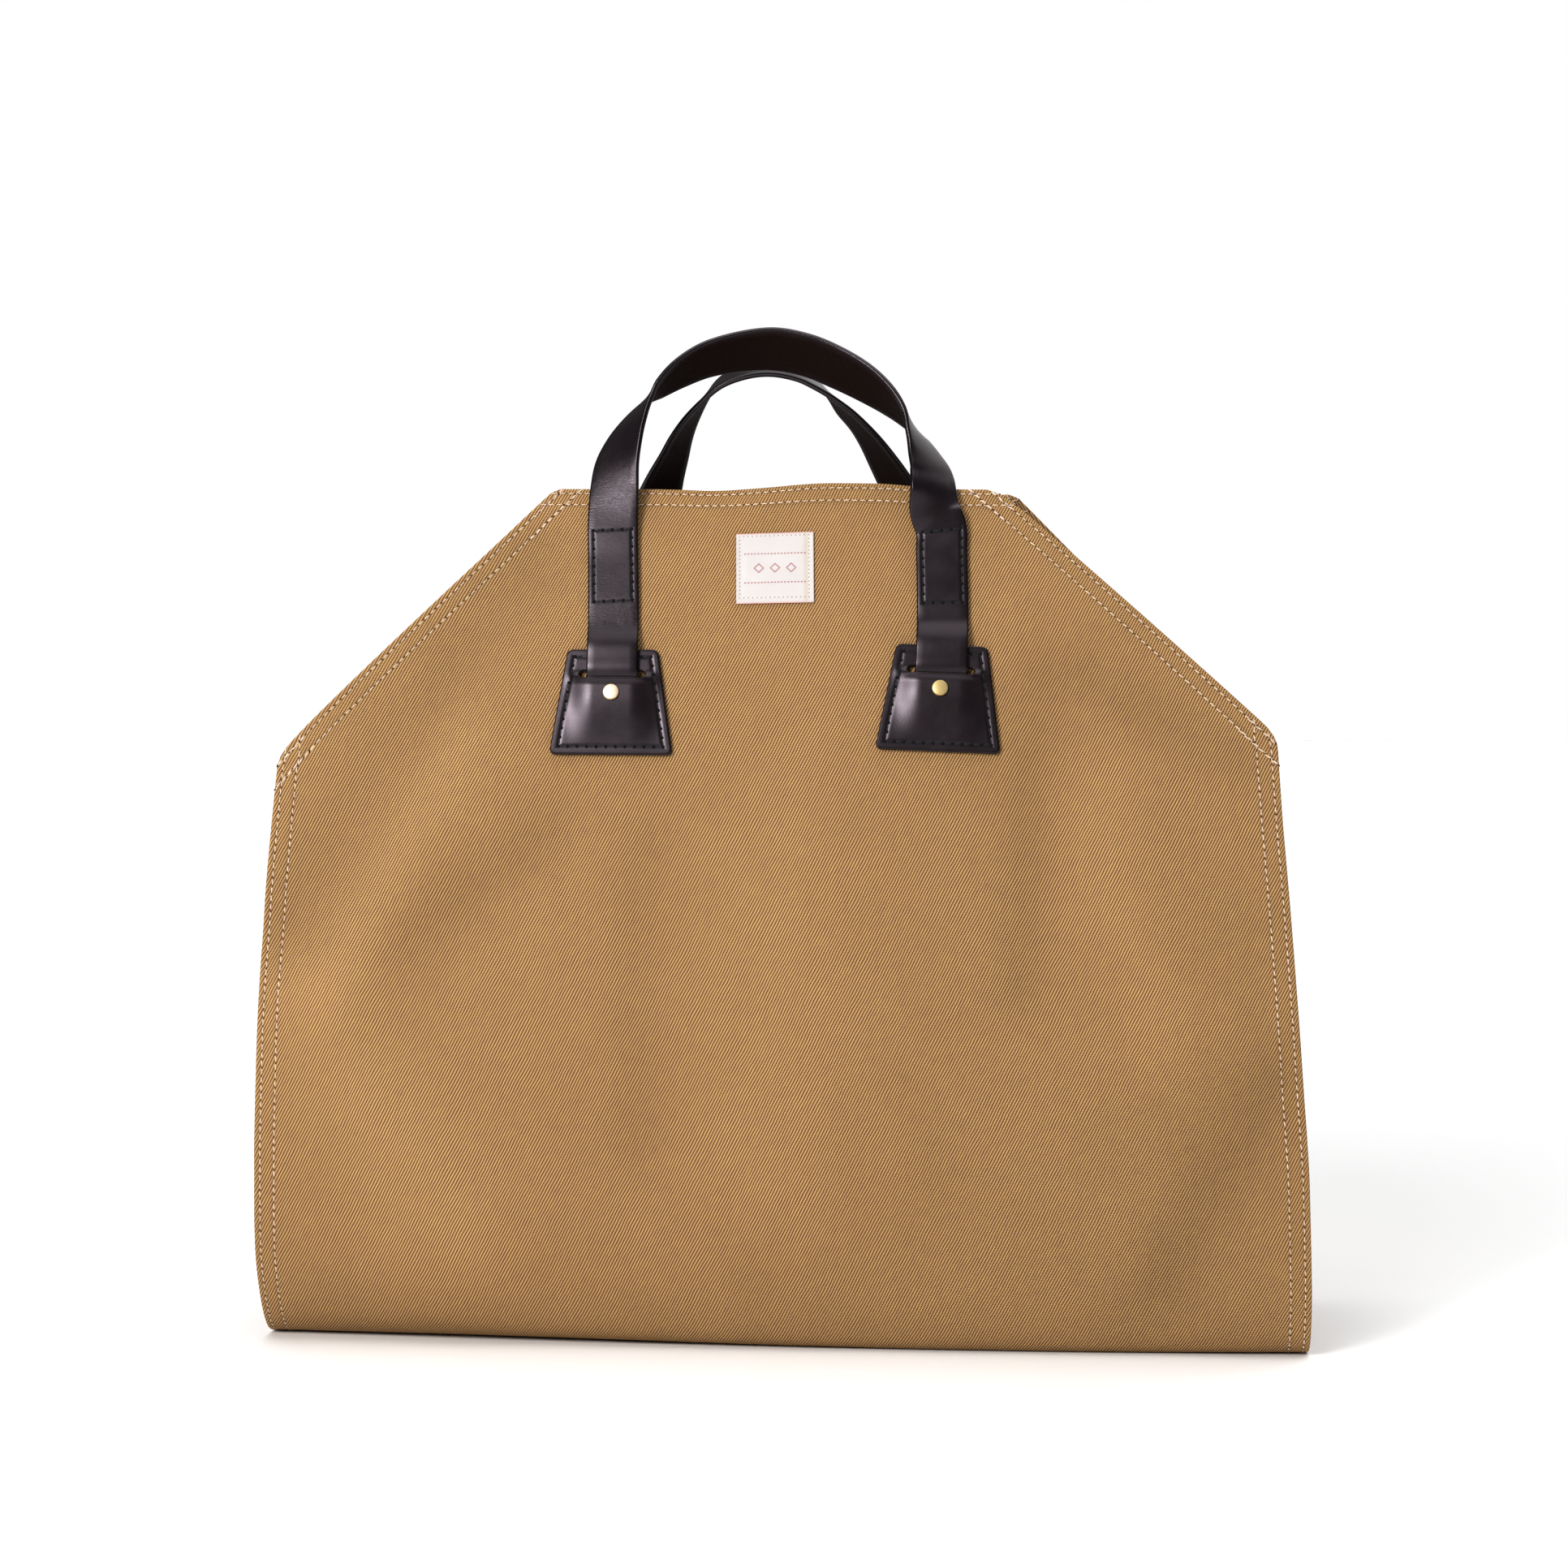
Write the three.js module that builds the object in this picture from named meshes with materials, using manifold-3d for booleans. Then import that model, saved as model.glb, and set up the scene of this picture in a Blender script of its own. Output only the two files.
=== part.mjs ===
// Log carrier: one sheet of heavy canvas bent into an open cradle, with two leather strap handles.
// Millimetres, +Z up, +X to the right, and the front panel faces -Y.
// The origin is the middle of the flat base, so the carrier stands on Z = 0.
import * as THREE from "three";
import { mergeVertices } from "three/addons/utils/BufferGeometryUtils.js";
import Module from "manifold-3d";

const wasm = await Module();
wasm.setup();

// Canvas sheet
const SHEET_WIDTH = 611; // across the base, edge to edge
const RIM_HEIGHT = 500; // floor to the top edge of a panel
const CRADLE_DEPTH = 195; // front to back where the panels stand furthest apart
const CANVAS_WALL = 1.3;
const HEM_WIDTH = 13; // turned edge, all round
const HEM_FOLD = 1.2; // thickness that the turned edge adds inside
const HEM_STEP = 2; // width of the step from the hem down to the single cloth

// Leather straps
const STRAP_WIDTH = 30;
const STRAP_THICK = 3.4;
const STRAP_BEVEL = 0.7;
const STRAP_FREE = 28; // length below the rim that isn't stitched to the cloth
const STRAP_SPRING = 1.1; // how far the strap stands off the cloth where its free length starts
const HANDLE_SPACING = 190; // between the middles of one handle's two legs
const HANDLE_RISE = 86; // rim to the middle of the strap at the top of the grip
const HANDLE_REACH = 100; // sideways unit of the handle's path: about half of what it spans

// Leather patches
const PATCH_TOP_WIDTH = 53;
const PATCH_BOTTOM_WIDTH = 72;
const PATCH_HEIGHT = 63;
const PATCH_THICK = 2.6;
const PATCH_CORNER = 4;
const PATCH_DROP = 103; // rim to the patch's top edge, along the cloth
const SLOT_DROP = 15.6; // patch's top edge to the slot
const SLOT_GAP = 5;
const SLOT_ROOM = 4.2; // slot past each edge of the strap
const SLOT_LIP = 1.6; // how much further the slot's lower edge is pushed out by the strap that dives under it
const STRAP_TAIL = 22; // strap hidden below the slot
const STRAP_CLIMB = 15; // length in which a strap climbs onto the patch's top margin
const STRAP_SETTLE = 2; // how far above the patch's top edge the climb is over
const STRAP_DIVE = 3.5; // length below the slot in which it comes down to the cloth
const LIP_RUN = 0.5; // length of the slot's lip past that dive
const PATCH_ROOM = 1.5; // how far the patch stays raised past the tail's edges and end
const PATCH_SLOPE = 8; // width of the patch's slope down from the strap's tail to the cloth

// Rivets
const RIVET_DROP = 27; // patch's top edge to the rivet
const RIVET_CAP_RADIUS = 4.7;
const RIVET_CAP_HEIGHT = 2;
const RIVET_SHANK_RADIUS = 1.6;
const RIVET_WASHER_THICK = 0.9;
const RIVET_SIDES = 11;
// Outlines from the outer end to the inner one: shares of the cap's radius, and of each part's own thickness
const WASHER_OUTLINE = [[0, 1], [0.85, 1], [0.92, 0.5], [0.92, 0]];
const CAP_OUTLINE = [[1, 0], [1, 0.35], [0.8, 0.78], [0.42, 0.97], [0, 1]];

// Woven label
const LABEL_WIDTH = 45.5;
const LABEL_HEIGHT = 44;
const LABEL_THICK = 0.8;
const LABEL_DROP = 29.5; // rim to the label's top edge
const LABEL_X = -4;
const LABEL_TURN = 1.6; // degrees

// Air between pieces that lie on each other, and round the rivets' shanks
const LAY_GAP = 0.42;
const RIVET_GAP = 0.3;

const halfWidth = SHEET_WIDTH / 2;
const halfDepth = CRADLE_DEPTH / 2;

// Section of the front half, from the rim down to the middle of the base. Heights are shares of RIM_HEIGHT,
// and depths are shares of half CRADLE_DEPTH. tilt is how much higher the right end is than the left one,
// and left and right are how far those ends of the row fall back from its middle.
const SECTION = [
  { at: "rim", height: 1.002, tilt: -0.0074, depth: 0.349, left: 0, right: 0 },
  { at: "collar", height: 0.94, tilt: -0.006, depth: 0.478, left: 0, right: 0 },
  { at: "brow", height: 0.86, tilt: 0, depth: 0.618, left: 0, right: 0 },
  { at: "patch", height: 0.78, tilt: 0, depth: 0.738, left: 0, right: 0 },
  { at: "shoulder", height: 0.7, tilt: 0, depth: 0.841, left: 0.02, right: 0.01 },
  { at: "chest", height: 0.6, tilt: 0, depth: 0.92, left: 0.02, right: 0.01 },
  { at: "waist", height: 0.48, tilt: 0, depth: 0.971, left: 0.01, right: 0 },
  { at: "belly", height: 0.34, tilt: 0, depth: 0.997, left: 0, right: 0 },
  { at: "hip", height: 0.22, tilt: 0, depth: 1, left: 0.01, right: 0 },
  { at: "heel", height: 0.11, tilt: 0, depth: 0.985, left: 0.04, right: 0 },
  { at: "turn", height: 0.048, tilt: 0, depth: 0.94, left: 0.13, right: 0 },
  { at: "sole", height: 0.011, tilt: 0, depth: 0.86, left: 0.21, right: 0.01 },
  { at: "base edge", height: 0, tilt: 0, depth: 0.74, left: 0.24, right: 0.02 },
  { at: "base", height: 0, tilt: 0, depth: 0.4, left: 0.12, right: 0.01 },
  { at: "middle", height: 0, tilt: 0, depth: 0, left: 0, right: 0 },
];

// Half-widths of the cut sheet, as shares of half SHEET_WIDTH, against the way from the rim to the middle of
// the base. The slanted top corners end at the two shoulders.
const CUT = [
  { at: "rim", along: 0, left: 0.4465, right: 0.4134 },
  { at: "right shoulder", along: 0.256, left: 0.908, right: 0.9345 },
  { at: "left shoulder", along: 0.287, left: 0.959, right: 0.937 },
  { at: "chest", along: 0.34, left: 0.966, right: 0.943 },
  { at: "waist", along: 0.43, left: 0.979, right: 0.957 },
  { at: "belly", along: 0.56, left: 0.989, right: 0.976 },
  { at: "hip", along: 0.68, left: 0.997, right: 0.992 },
  { at: "heel", along: 0.8, left: 1, right: 0.999 },
  { at: "base", along: 1, left: 1, right: 1 },
];

// Soft folds of a panel. Places are shares: x of half SHEET_WIDTH and s of the way from the rim to the middle of
// the base. Widths and depths are shares of half CRADLE_DEPTH, and a negative depth is a hollow.
const FOLDS = [
  { fold: "left shoulder hollow", x0: -0.47, s0: 0.07, x1: -0.92, s1: 0.45, width: 0.4, depth: -0.04 },
  { fold: "left shoulder ridge", x0: -0.58, s0: 0.27, x1: -0.84, s1: 0.52, width: 0.34, depth: 0.035 },
  { fold: "left chest hollow", x0: -0.42, s0: 0.36, x1: -0.67, s1: 0.47, width: 0.3, depth: -0.036 },
  { fold: "left belly swell", x0: -0.86, s0: 0.56, x1: -0.62, s1: 0.76, width: 0.6, depth: 0.04 },
  { fold: "left patch hollow", x0: -0.24, s0: 0.36, x1: -0.25, s1: 0.66, width: 0.26, depth: -0.022 },
  { fold: "middle swell", x0: 0.02, s0: 0.42, x1: 0, s1: 0.66, width: 0.7, depth: 0.03 },
  { fold: "right patch hollow", x0: 0.51, s0: 0.2, x1: 0.48, s1: 0.5, width: 0.25, depth: -0.032 },
  { fold: "right shoulder hollow", x0: 0.6, s0: 0.2, x1: 0.88, s1: 0.28, width: 0.26, depth: -0.034 },
  { fold: "right chest ridge", x0: 0.62, s0: 0.34, x1: 0.74, s1: 0.55, width: 0.4, depth: 0.034 },
  { fold: "right hip hollow", x0: 0.94, s0: 0.6, x1: 0.73, s1: 0.8, width: 0.34, depth: -0.04 },
];

// Where the straps and patches lie. x is the patch's middle as a share of half HANDLE_SPACING, seen from
// outside the panel; drift is how far the strap leans sideways at the rim, as a share of STRAP_WIDTH.
const LEGS = {
  front: {
    left: { x: -1.023, drop: 0, turn: 0.4, drift: -0.09 },
    right: { x: 0.978, drop: -4, turn: -2, drift: -0.14 },
  },
  back: {
    left: { x: -0.935, drop: 0, turn: 1, drift: 0.42 },
    right: { x: 1.01, drop: -2, turn: -1, drift: -0.14 },
  },
};

// Free stretch of each handle, from the left leg's rim to the right one's in world axes. across is a share of
// HANDLE_REACH, depth of half CRADLE_DEPTH and rise of HANDLE_RISE above RIM_HEIGHT. The strap's near edge
// points along heading, in degrees from +X, and is raised by pitch.
const ARCH = {
  front: [
    { across: -1.003, depth: -0.46, rise: -0.15, heading: -4, pitch: 0 },
    { across: -1.0, depth: -0.43, rise: 0, heading: -12, pitch: -1 },
    { across: -0.99, depth: -0.38, rise: 0.19, heading: -26, pitch: -2 },
    { across: -0.947, depth: -0.31, rise: 0.38, heading: -44, pitch: 0 },
    { across: -0.892, depth: -0.26, rise: 0.52, heading: -61, pitch: -1 },
    { across: -0.824, depth: -0.225, rise: 0.64, heading: -80, pitch: -3 },
    { across: -0.756, depth: -0.205, rise: 0.72, heading: -88, pitch: 12 },
    { across: -0.627, depth: -0.175, rise: 0.835, heading: -94, pitch: 25 },
    { across: -0.447, depth: -0.145, rise: 0.937, heading: -95, pitch: 36 },
    { across: -0.104, depth: -0.115, rise: 1, heading: -87, pitch: 49 },
    { across: 0.115, depth: -0.123, rise: 0.955, heading: -80, pitch: 50 },
    { across: 0.294, depth: -0.143, rise: 0.868, heading: -75, pitch: 48 },
    { across: 0.472, depth: -0.174, rise: 0.752, heading: -74, pitch: 39 },
    { across: 0.618, depth: -0.205, rise: 0.622, heading: -78, pitch: 24 },
    { across: 0.72, depth: -0.24, rise: 0.493, heading: -86, pitch: 8 },
    { across: 0.785, depth: -0.285, rise: 0.375, heading: -102, pitch: -6 },
    { across: 0.835, depth: -0.34, rise: 0.245, heading: -119, pitch: -7 },
    { across: 0.873, depth: -0.41, rise: 0.12, heading: -135, pitch: -4 },
    { across: 0.885, depth: -0.475, rise: 0, heading: -148, pitch: -2 },
    { across: 0.892, depth: -0.487, rise: -0.15, heading: -167, pitch: -1 },
  ],
  back: [
    { across: -0.89, depth: 0.487, rise: -0.15, heading: -167, pitch: -1 },
    { across: -0.843, depth: 0.475, rise: 0, heading: -151, pitch: -2 },
    { across: -0.792, depth: 0.41, rise: 0.14, heading: -133, pitch: -1 },
    { across: -0.733, depth: 0.355, rise: 0.29, heading: -117, pitch: 1 },
    { across: -0.68, depth: 0.31, rise: 0.43, heading: -106, pitch: 1 },
    { across: -0.61, depth: 0.27, rise: 0.57, heading: -97, pitch: -2 },
    { across: -0.53, depth: 0.235, rise: 0.69, heading: -87, pitch: -5 },
    { across: -0.43, depth: 0.21, rise: 0.805, heading: -81, pitch: -12 },
    { across: -0.276, depth: 0.19, rise: 0.888, heading: -82, pitch: -21 },
    { across: -0.122, depth: 0.182, rise: 0.908, heading: -86, pitch: -23 },
    { across: 0.04, depth: 0.19, rise: 0.868, heading: -90, pitch: -20 },
    { across: 0.147, depth: 0.205, rise: 0.795, heading: -92, pitch: -11 },
    { across: 0.24, depth: 0.23, rise: 0.71, heading: -87, pitch: -4 },
    { across: 0.323, depth: 0.26, rise: 0.61, heading: -76, pitch: 0 },
    { across: 0.415, depth: 0.3, rise: 0.5, heading: -70, pitch: 0 },
    { across: 0.5, depth: 0.34, rise: 0.37, heading: -61, pitch: 0 },
    { across: 0.575, depth: 0.39, rise: 0.23, heading: -50, pitch: -1 },
    { across: 0.65, depth: 0.44, rise: 0.08, heading: -40, pitch: -2 },
    { across: 0.7, depth: 0.475, rise: -0.02, heading: -29, pitch: -2 },
    { across: 0.742, depth: 0.487, rise: -0.16, heading: -14, pitch: -1 },
  ],
};

// Shares of the way from the rim to the middle of the base. The folds grow in below the rim and fade out before
// the base, and the cloth turns into the base between the two TURN shares.
const FOLDS_GROWN = 0.08;
const FOLDS_FADE = 0.8;
const FOLDS_GONE = 0.9;
const TURN_START = 0.76;
const TURN_END = 0.94;

// Mesh steps
const ROW_STEP = 27; // along the cloth
const TURN_STEP = 9; // along the cloth where it turns into the base
const CELLS_ACROSS = 16; // between the hems
const STRAP_LAY_STEP = 15; // along a strap where it lies on the cloth
const ARCH_SECTIONS = 28; // along a handle's free stretch
const PATCH_STEP = 18;
const LABEL_CELLS = 4;

const COLOURS = {
  canvas: { color: 0xb08a5c, roughness: 0.92, metalness: 0 },
  leather: { color: 0x2c2327, roughness: 0.55, metalness: 0 },
  rivet: { color: 0xb59a5e, roughness: 0.35, metalness: 1 },
  label: { color: 0xe6dccb, roughness: 0.9, metalness: 0 },
};

const smooth = (low, high, value) => THREE.MathUtils.smoothstep(value, low, high);

// The section at the left end, the middle and the right end of the front half, as curves in the YZ plane
function sectionCurve(side) {
  const points = SECTION.map((row) => {
    const height = row.height + (row.tilt / 2) * side;
    const fall = side < 0 ? row.left : side > 0 ? row.right : 0;
    return new THREE.Vector3(0, -(row.depth - fall) * halfDepth, height * RIM_HEIGHT);
  });
  const curve = new THREE.CatmullRomCurve3(points, false, "centripetal");
  curve.arcLengthDivisions = 600;
  return curve;
}

const leftCurve = sectionCurve(-1);
const middleCurve = sectionCurve(0);
const rightCurve = sectionCurve(1);
const halfLength = middleCurve.getLength(); // rim to the middle of the base, along the cloth

// Half-width of the cut sheet on one side, at s millimetres from the front rim
function cutWidth(s, side) {
  const share = THREE.MathUtils.clamp(s / halfLength, 0, 1);
  let next = CUT.findIndex((row) => row.along >= share);
  next = Math.max(next, 1);
  const [a, b] = [CUT[next - 1], CUT[next]];
  const t = (share - a.along) / (b.along - a.along);
  return THREE.MathUtils.lerp(a[side], b[side], t) * halfWidth;
}

// Height of the soft folds above the plain section, at x and s of the front half
function foldHeight(x, s) {
  let height = 0;
  for (const f of FOLDS) {
    const from = new THREE.Vector2(f.x0 * halfWidth, f.s0 * halfLength);
    const to = new THREE.Vector2(f.x1 * halfWidth, f.s1 * halfLength);
    const run = to.clone().sub(from);
    const here = new THREE.Vector2(x, s).sub(from);
    const t = THREE.MathUtils.clamp(here.dot(run) / run.lengthSq(), 0, 1);
    const away = here.sub(run.multiplyScalar(t)).length() / (f.width * halfDepth);
    height += f.depth * halfDepth * Math.exp(-2 * away * away);
  }
  const share = s / halfLength;
  return height * smooth(0, FOLDS_GROWN, share) * (1 - smooth(FOLDS_FADE, FOLDS_GONE, share));
}

// Plain section at x and s, without folds: three curves blended across the width
function plainPoint(x, s) {
  const share = THREE.MathUtils.clamp(s / halfLength, 0, 1);
  const v = x / halfWidth;
  const left = leftCurve.getPointAt(share).multiplyScalar((v * v - v) / 2);
  const middle = middleCurve.getPointAt(share).multiplyScalar(1 - v * v);
  const right = rightCurve.getPointAt(share).multiplyScalar((v * v + v) / 2);
  const point = left.add(middle).add(right);
  return new THREE.Vector3(x, point.y, Math.max(point.z, 0));
}

function normalOf(surface, x, s) {
  const step = 1.5;
  const across = surface(x + step, s).sub(surface(x - step, s));
  const low = Math.max(s - step, 0);
  const high = Math.min(s + step, halfLength);
  const along = surface(x, high).sub(surface(x, low));
  return along.cross(across).normalize();
}

function foldedPoint(x, s) {
  const lift = foldHeight(x, s);
  const point = plainPoint(x, s);
  return lift === 0 ? point : point.addScaledVector(normalOf(plainPoint, x, s), lift);
}

// Point at height h above the outer face of the front half. The flat base keeps its normal straight down.
function frontPoint(x, s, h) {
  const point = foldedPoint(x, s);
  return h === 0 ? point : point.addScaledVector(normalOf(foldedPoint, x, s), h);
}

const aboutZ = new THREE.Vector3(0, 0, 1);

// Point on either panel. s runs from that panel's rim, and x is as seen from outside the panel.
function panelPoint(panel, x, s, h) {
  const point = frontPoint(x, s, h);
  return panel === "back" ? point.applyAxisAngle(aboutZ, Math.PI) : point;
}

function panelNormal(panel, x, s) {
  const normal = normalOf(foldedPoint, x, s);
  return panel === "back" ? normal.applyAxisAngle(aboutZ, Math.PI) : normal;
}

// A closed mesh from rows of points that go round each section, with flat ends
function tubeOfSections(sections) {
  const sides = sections[0].length;
  const positions = sections.flat().flatMap((p) => [p.x, p.y, p.z]);
  const index = [];
  for (let i = 0; i + 1 < sections.length; i++) {
    for (let j = 0; j < sides; j++) {
      const a = i * sides + j;
      const b = i * sides + ((j + 1) % sides);
      index.push(a, b, b + sides, a, b + sides, a + sides);
    }
  }
  const last = (sections.length - 1) * sides;
  for (let j = 1; j + 1 < sides; j++) {
    index.push(0, j + 1, j);
    index.push(last, last + j, last + j + 1);
  }
  return facingOut(positions, index);
}

// A closed plate between two grids of points with the same rows and columns
function plateOfGrids(top, under) {
  const rows = top.length;
  const columns = top[0].length;
  const positions = [...top.flat(), ...under.flat()].flatMap((p) => [p.x, p.y, p.z]);
  const offset = rows * columns;
  const at = (i, j) => i * columns + j;
  const index = [];
  for (let i = 0; i + 1 < rows; i++) {
    for (let j = 0; j + 1 < columns; j++) {
      const [a, b, c, d] = [at(i, j), at(i, j + 1), at(i + 1, j + 1), at(i + 1, j)];
      index.push(a, b, c, a, c, d);
      index.push(a + offset, c + offset, b + offset, a + offset, d + offset, c + offset);
    }
  }
  const rim = [];
  for (let j = 0; j + 1 < columns; j++) rim.push(at(0, j));
  for (let i = 0; i + 1 < rows; i++) rim.push(at(i, columns - 1));
  for (let j = columns - 1; j > 0; j--) rim.push(at(rows - 1, j));
  for (let i = rows - 1; i > 0; i--) rim.push(at(i, 0));
  rim.forEach((a, k) => {
    const b = rim[(k + 1) % rim.length];
    index.push(a, a + offset, b + offset, a, b + offset, b);
  });
  return facingOut(positions, index);
}

// Indexed geometry whose faces point out, whatever way its rows ran
function facingOut(positions, index) {
  const corner = (k) => new THREE.Vector3().fromArray(positions, index[k] * 3);
  let volume = 0;
  for (let k = 0; k < index.length; k += 3) {
    volume += corner(k).dot(corner(k + 1).cross(corner(k + 2)));
  }
  const turned = volume > 0 ? index : index.toReversed();
  const geometry = new THREE.BufferGeometry();
  geometry.setAttribute("position", new THREE.Float32BufferAttribute(positions, 3));
  geometry.setIndex(turned);
  return geometry;
}

function solidOf(geometry) {
  const bare = geometry.clone();
  bare.deleteAttribute("normal");
  bare.deleteAttribute("uv");
  const merged = mergeVertices(bare, 1e-4);
  const mesh = new wasm.Mesh({
    numProp: 3,
    vertProperties: new Float32Array(merged.attributes.position.array),
    triVerts: new Uint32Array(merged.index.array),
  });
  return new wasm.Manifold(mesh);
}

function geometryOf(solid) {
  const mesh = solid.getMesh();
  const geometry = new THREE.BufferGeometry();
  geometry.setAttribute("position", new THREE.BufferAttribute(new Float32Array(mesh.vertProperties), 3));
  geometry.setIndex(new THREE.BufferAttribute(new Uint32Array(mesh.triVerts), 1));
  return geometry;
}

function cut(geometry, cutters) {
  let solid = solidOf(geometry);
  for (const cutter of cutters) solid = solid.subtract(solidOf(cutter));
  return geometryOf(solid);
}

// Frame of a leg's patch: its middle, and the way to walk over the cloth from there
function patchPlace(panel, side) {
  const leg = LEGS[panel][side];
  const turn = THREE.MathUtils.degToRad(leg.turn);
  const x = (leg.x * HANDLE_SPACING) / 2;
  const s = PATCH_DROP + leg.drop + PATCH_HEIGHT / 2;
  return {
    panel,
    leg,
    x,
    s,
    // a runs across the patch and b down it, from its middle
    over: (a, b) => ({
      x: x + a * Math.cos(turn) + b * Math.sin(turn),
      s: s - a * Math.sin(turn) + b * Math.cos(turn),
    }),
  };
}

const slotDown = SLOT_DROP - PATCH_HEIGHT / 2;
const rivetDown = RIVET_DROP - PATCH_HEIGHT / 2;
const strapTop = LAY_GAP + STRAP_THICK;

const patchTop = -PATCH_HEIGHT / 2;
const slotTop = slotDown - SLOT_GAP / 2;
const slotBottom = slotDown + SLOT_GAP / 2;
const diveEnd = slotBottom + STRAP_DIVE;
const lipEnd = diveEnd + LIP_RUN;
const tailEnd = slotDown + STRAP_TAIL;
const raisedEnd = tailEnd + PATCH_ROOM;
const besideStrap = STRAP_WIDTH / 2 + PATCH_ROOM;

// A strap's under side above the cloth, at b below the patch's middle: flat on the cloth, up and over the top
// margin of the patch, and down through the slot to lie behind it
function strapLift(b) {
  const overPatch = PATCH_THICK + LAY_GAP;
  const climb = smooth(patchTop - STRAP_CLIMB, patchTop - STRAP_SETTLE, b);
  const dive = THREE.MathUtils.clamp((b - slotTop) / (diveEnd - slotTop), 0, 1);
  return LAY_GAP + overPatch * climb * (1 - dive);
}

// A patch's under side above the cloth at a and b: it lies on the cloth, and is raised over the strap's tail
function patchLift(a, b) {
  const beside = 1 - smooth(besideStrap, besideStrap + PATCH_SLOPE, Math.abs(a));
  const below = smooth(slotTop, slotBottom, b);
  const above = 1 - smooth(raisedEnd, tailEnd + PATCH_SLOPE, b);
  const lip = SLOT_LIP * (1 - smooth(slotBottom, lipEnd, b));
  return LAY_GAP + (strapTop + lip) * beside * below * above;
}

// Values from the first break to the last, with every break kept and no step longer than the one given
function stepsBetween(breaks, step) {
  const values = [breaks[0]];
  for (let k = 0; k + 1 < breaks.length; k++) {
    const [from, to] = [breaks[k], breaks[k + 1]];
    const cells = Math.max(1, Math.ceil(Math.abs(to - from) / step - 1e-6));
    for (let i = 1; i <= cells; i++) values.push(THREE.MathUtils.lerp(from, to, i / cells));
  }
  return values;
}

// A prism for cutting: the outline is in the patch's own a and b, and stands on the cloth at its middle
function prismAt(place, outline, at) {
  const spot = place.over(at.a, at.b);
  const origin = panelPoint(place.panel, spot.x, spot.s, 0);
  const normal = panelNormal(place.panel, spot.x, spot.s);
  const aside = place.over(at.a + 5, at.b);
  const across = panelPoint(place.panel, aside.x, aside.s, 0).sub(origin);
  across.addScaledVector(normal, -across.dot(normal)).normalize();
  const down = new THREE.Vector3().crossVectors(across, normal);
  const reach = 30;
  const prism = new THREE.ExtrudeGeometry(outline, { depth: 2 * reach, bevelEnabled: false, curveSegments: 3 });
  prism.translate(0, 0, -reach);
  prism.applyMatrix4(new THREE.Matrix4().makeBasis(across, down.negate(), normal).setPosition(origin));
  return prism;
}

function patchOutline() {
  const [top, bottom] = [PATCH_TOP_WIDTH / 2, PATCH_BOTTOM_WIDTH / 2];
  const half = PATCH_HEIGHT / 2;
  const corners = [[-top, half], [top, half], [bottom, -half], [-bottom, -half]];
  const vectors = corners.map(([a, up]) => new THREE.Vector2(a, up));
  const shape = new THREE.Shape();
  vectors.forEach((corner, k) => {
    const before = vectors[(k + 3) % 4].clone().sub(corner).setLength(PATCH_CORNER).add(corner);
    const after = vectors[(k + 1) % 4].clone().sub(corner).setLength(PATCH_CORNER).add(corner);
    if (k === 0) shape.moveTo(before.x, before.y);
    else shape.lineTo(before.x, before.y);
    shape.quadraticCurveTo(corner.x, corner.y, after.x, after.y);
  });
  return shape;
}

function slotOutline() {
  const radius = SLOT_GAP / 2;
  const reach = STRAP_WIDTH / 2 + SLOT_ROOM - radius;
  const shape = new THREE.Shape();
  shape.absarc(reach, 0, radius, -Math.PI / 2, Math.PI / 2, false);
  shape.absarc(-reach, 0, radius, Math.PI / 2, (3 * Math.PI) / 2, false);
  return shape;
}

// Hole for the rivet's shank, through whatever lies at a leg's rivet
function rivetHole(place) {
  const sides = 8;
  const radius = (RIVET_SHANK_RADIUS + RIVET_GAP) / Math.cos(Math.PI / sides);
  const corners = Array.from({ length: sides }, (_, k) => {
    const angle = (2 * Math.PI * k) / sides;
    return new THREE.Vector2(radius * Math.cos(angle), radius * Math.sin(angle));
  });
  return prismAt(place, new THREE.Shape(corners), { a: 0, b: rivetDown });
}

function patchGeometry(place) {
  const spare = 2; // plate past the outline, for a clean cut
  const reach = PATCH_BOTTOM_WIDTH / 2 + spare;
  const drop = PATCH_HEIGHT / 2 + spare;
  const half = [besideStrap + PATCH_SLOPE / 2, besideStrap];
  const acrossBreaks = [-reach, ...half.map((a) => -a), 0, ...half.toReversed(), reach];
  const downBreaks = [-drop, slotTop, slotBottom, lipEnd, raisedEnd, tailEnd + PATCH_SLOPE, drop];
  const across = stepsBetween(acrossBreaks, PATCH_STEP);
  const down = stepsBetween(downBreaks, PATCH_STEP);
  const layer = (thick) => down.map((b) => across.map((a) => {
    const spot = place.over(a, b);
    return panelPoint(place.panel, spot.x, spot.s, patchLift(a, b) + thick);
  }));
  const plate = solidOf(plateOfGrids(layer(PATCH_THICK), layer(0)));
  const trimmed = plate.intersect(solidOf(prismAt(place, patchOutline(), { a: 0, b: 0 })));
  const slotted = trimmed.subtract(solidOf(prismAt(place, slotOutline(), { a: 0, b: slotDown })));
  return geometryOf(slotted.subtract(solidOf(rivetHole(place))));
}

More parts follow.
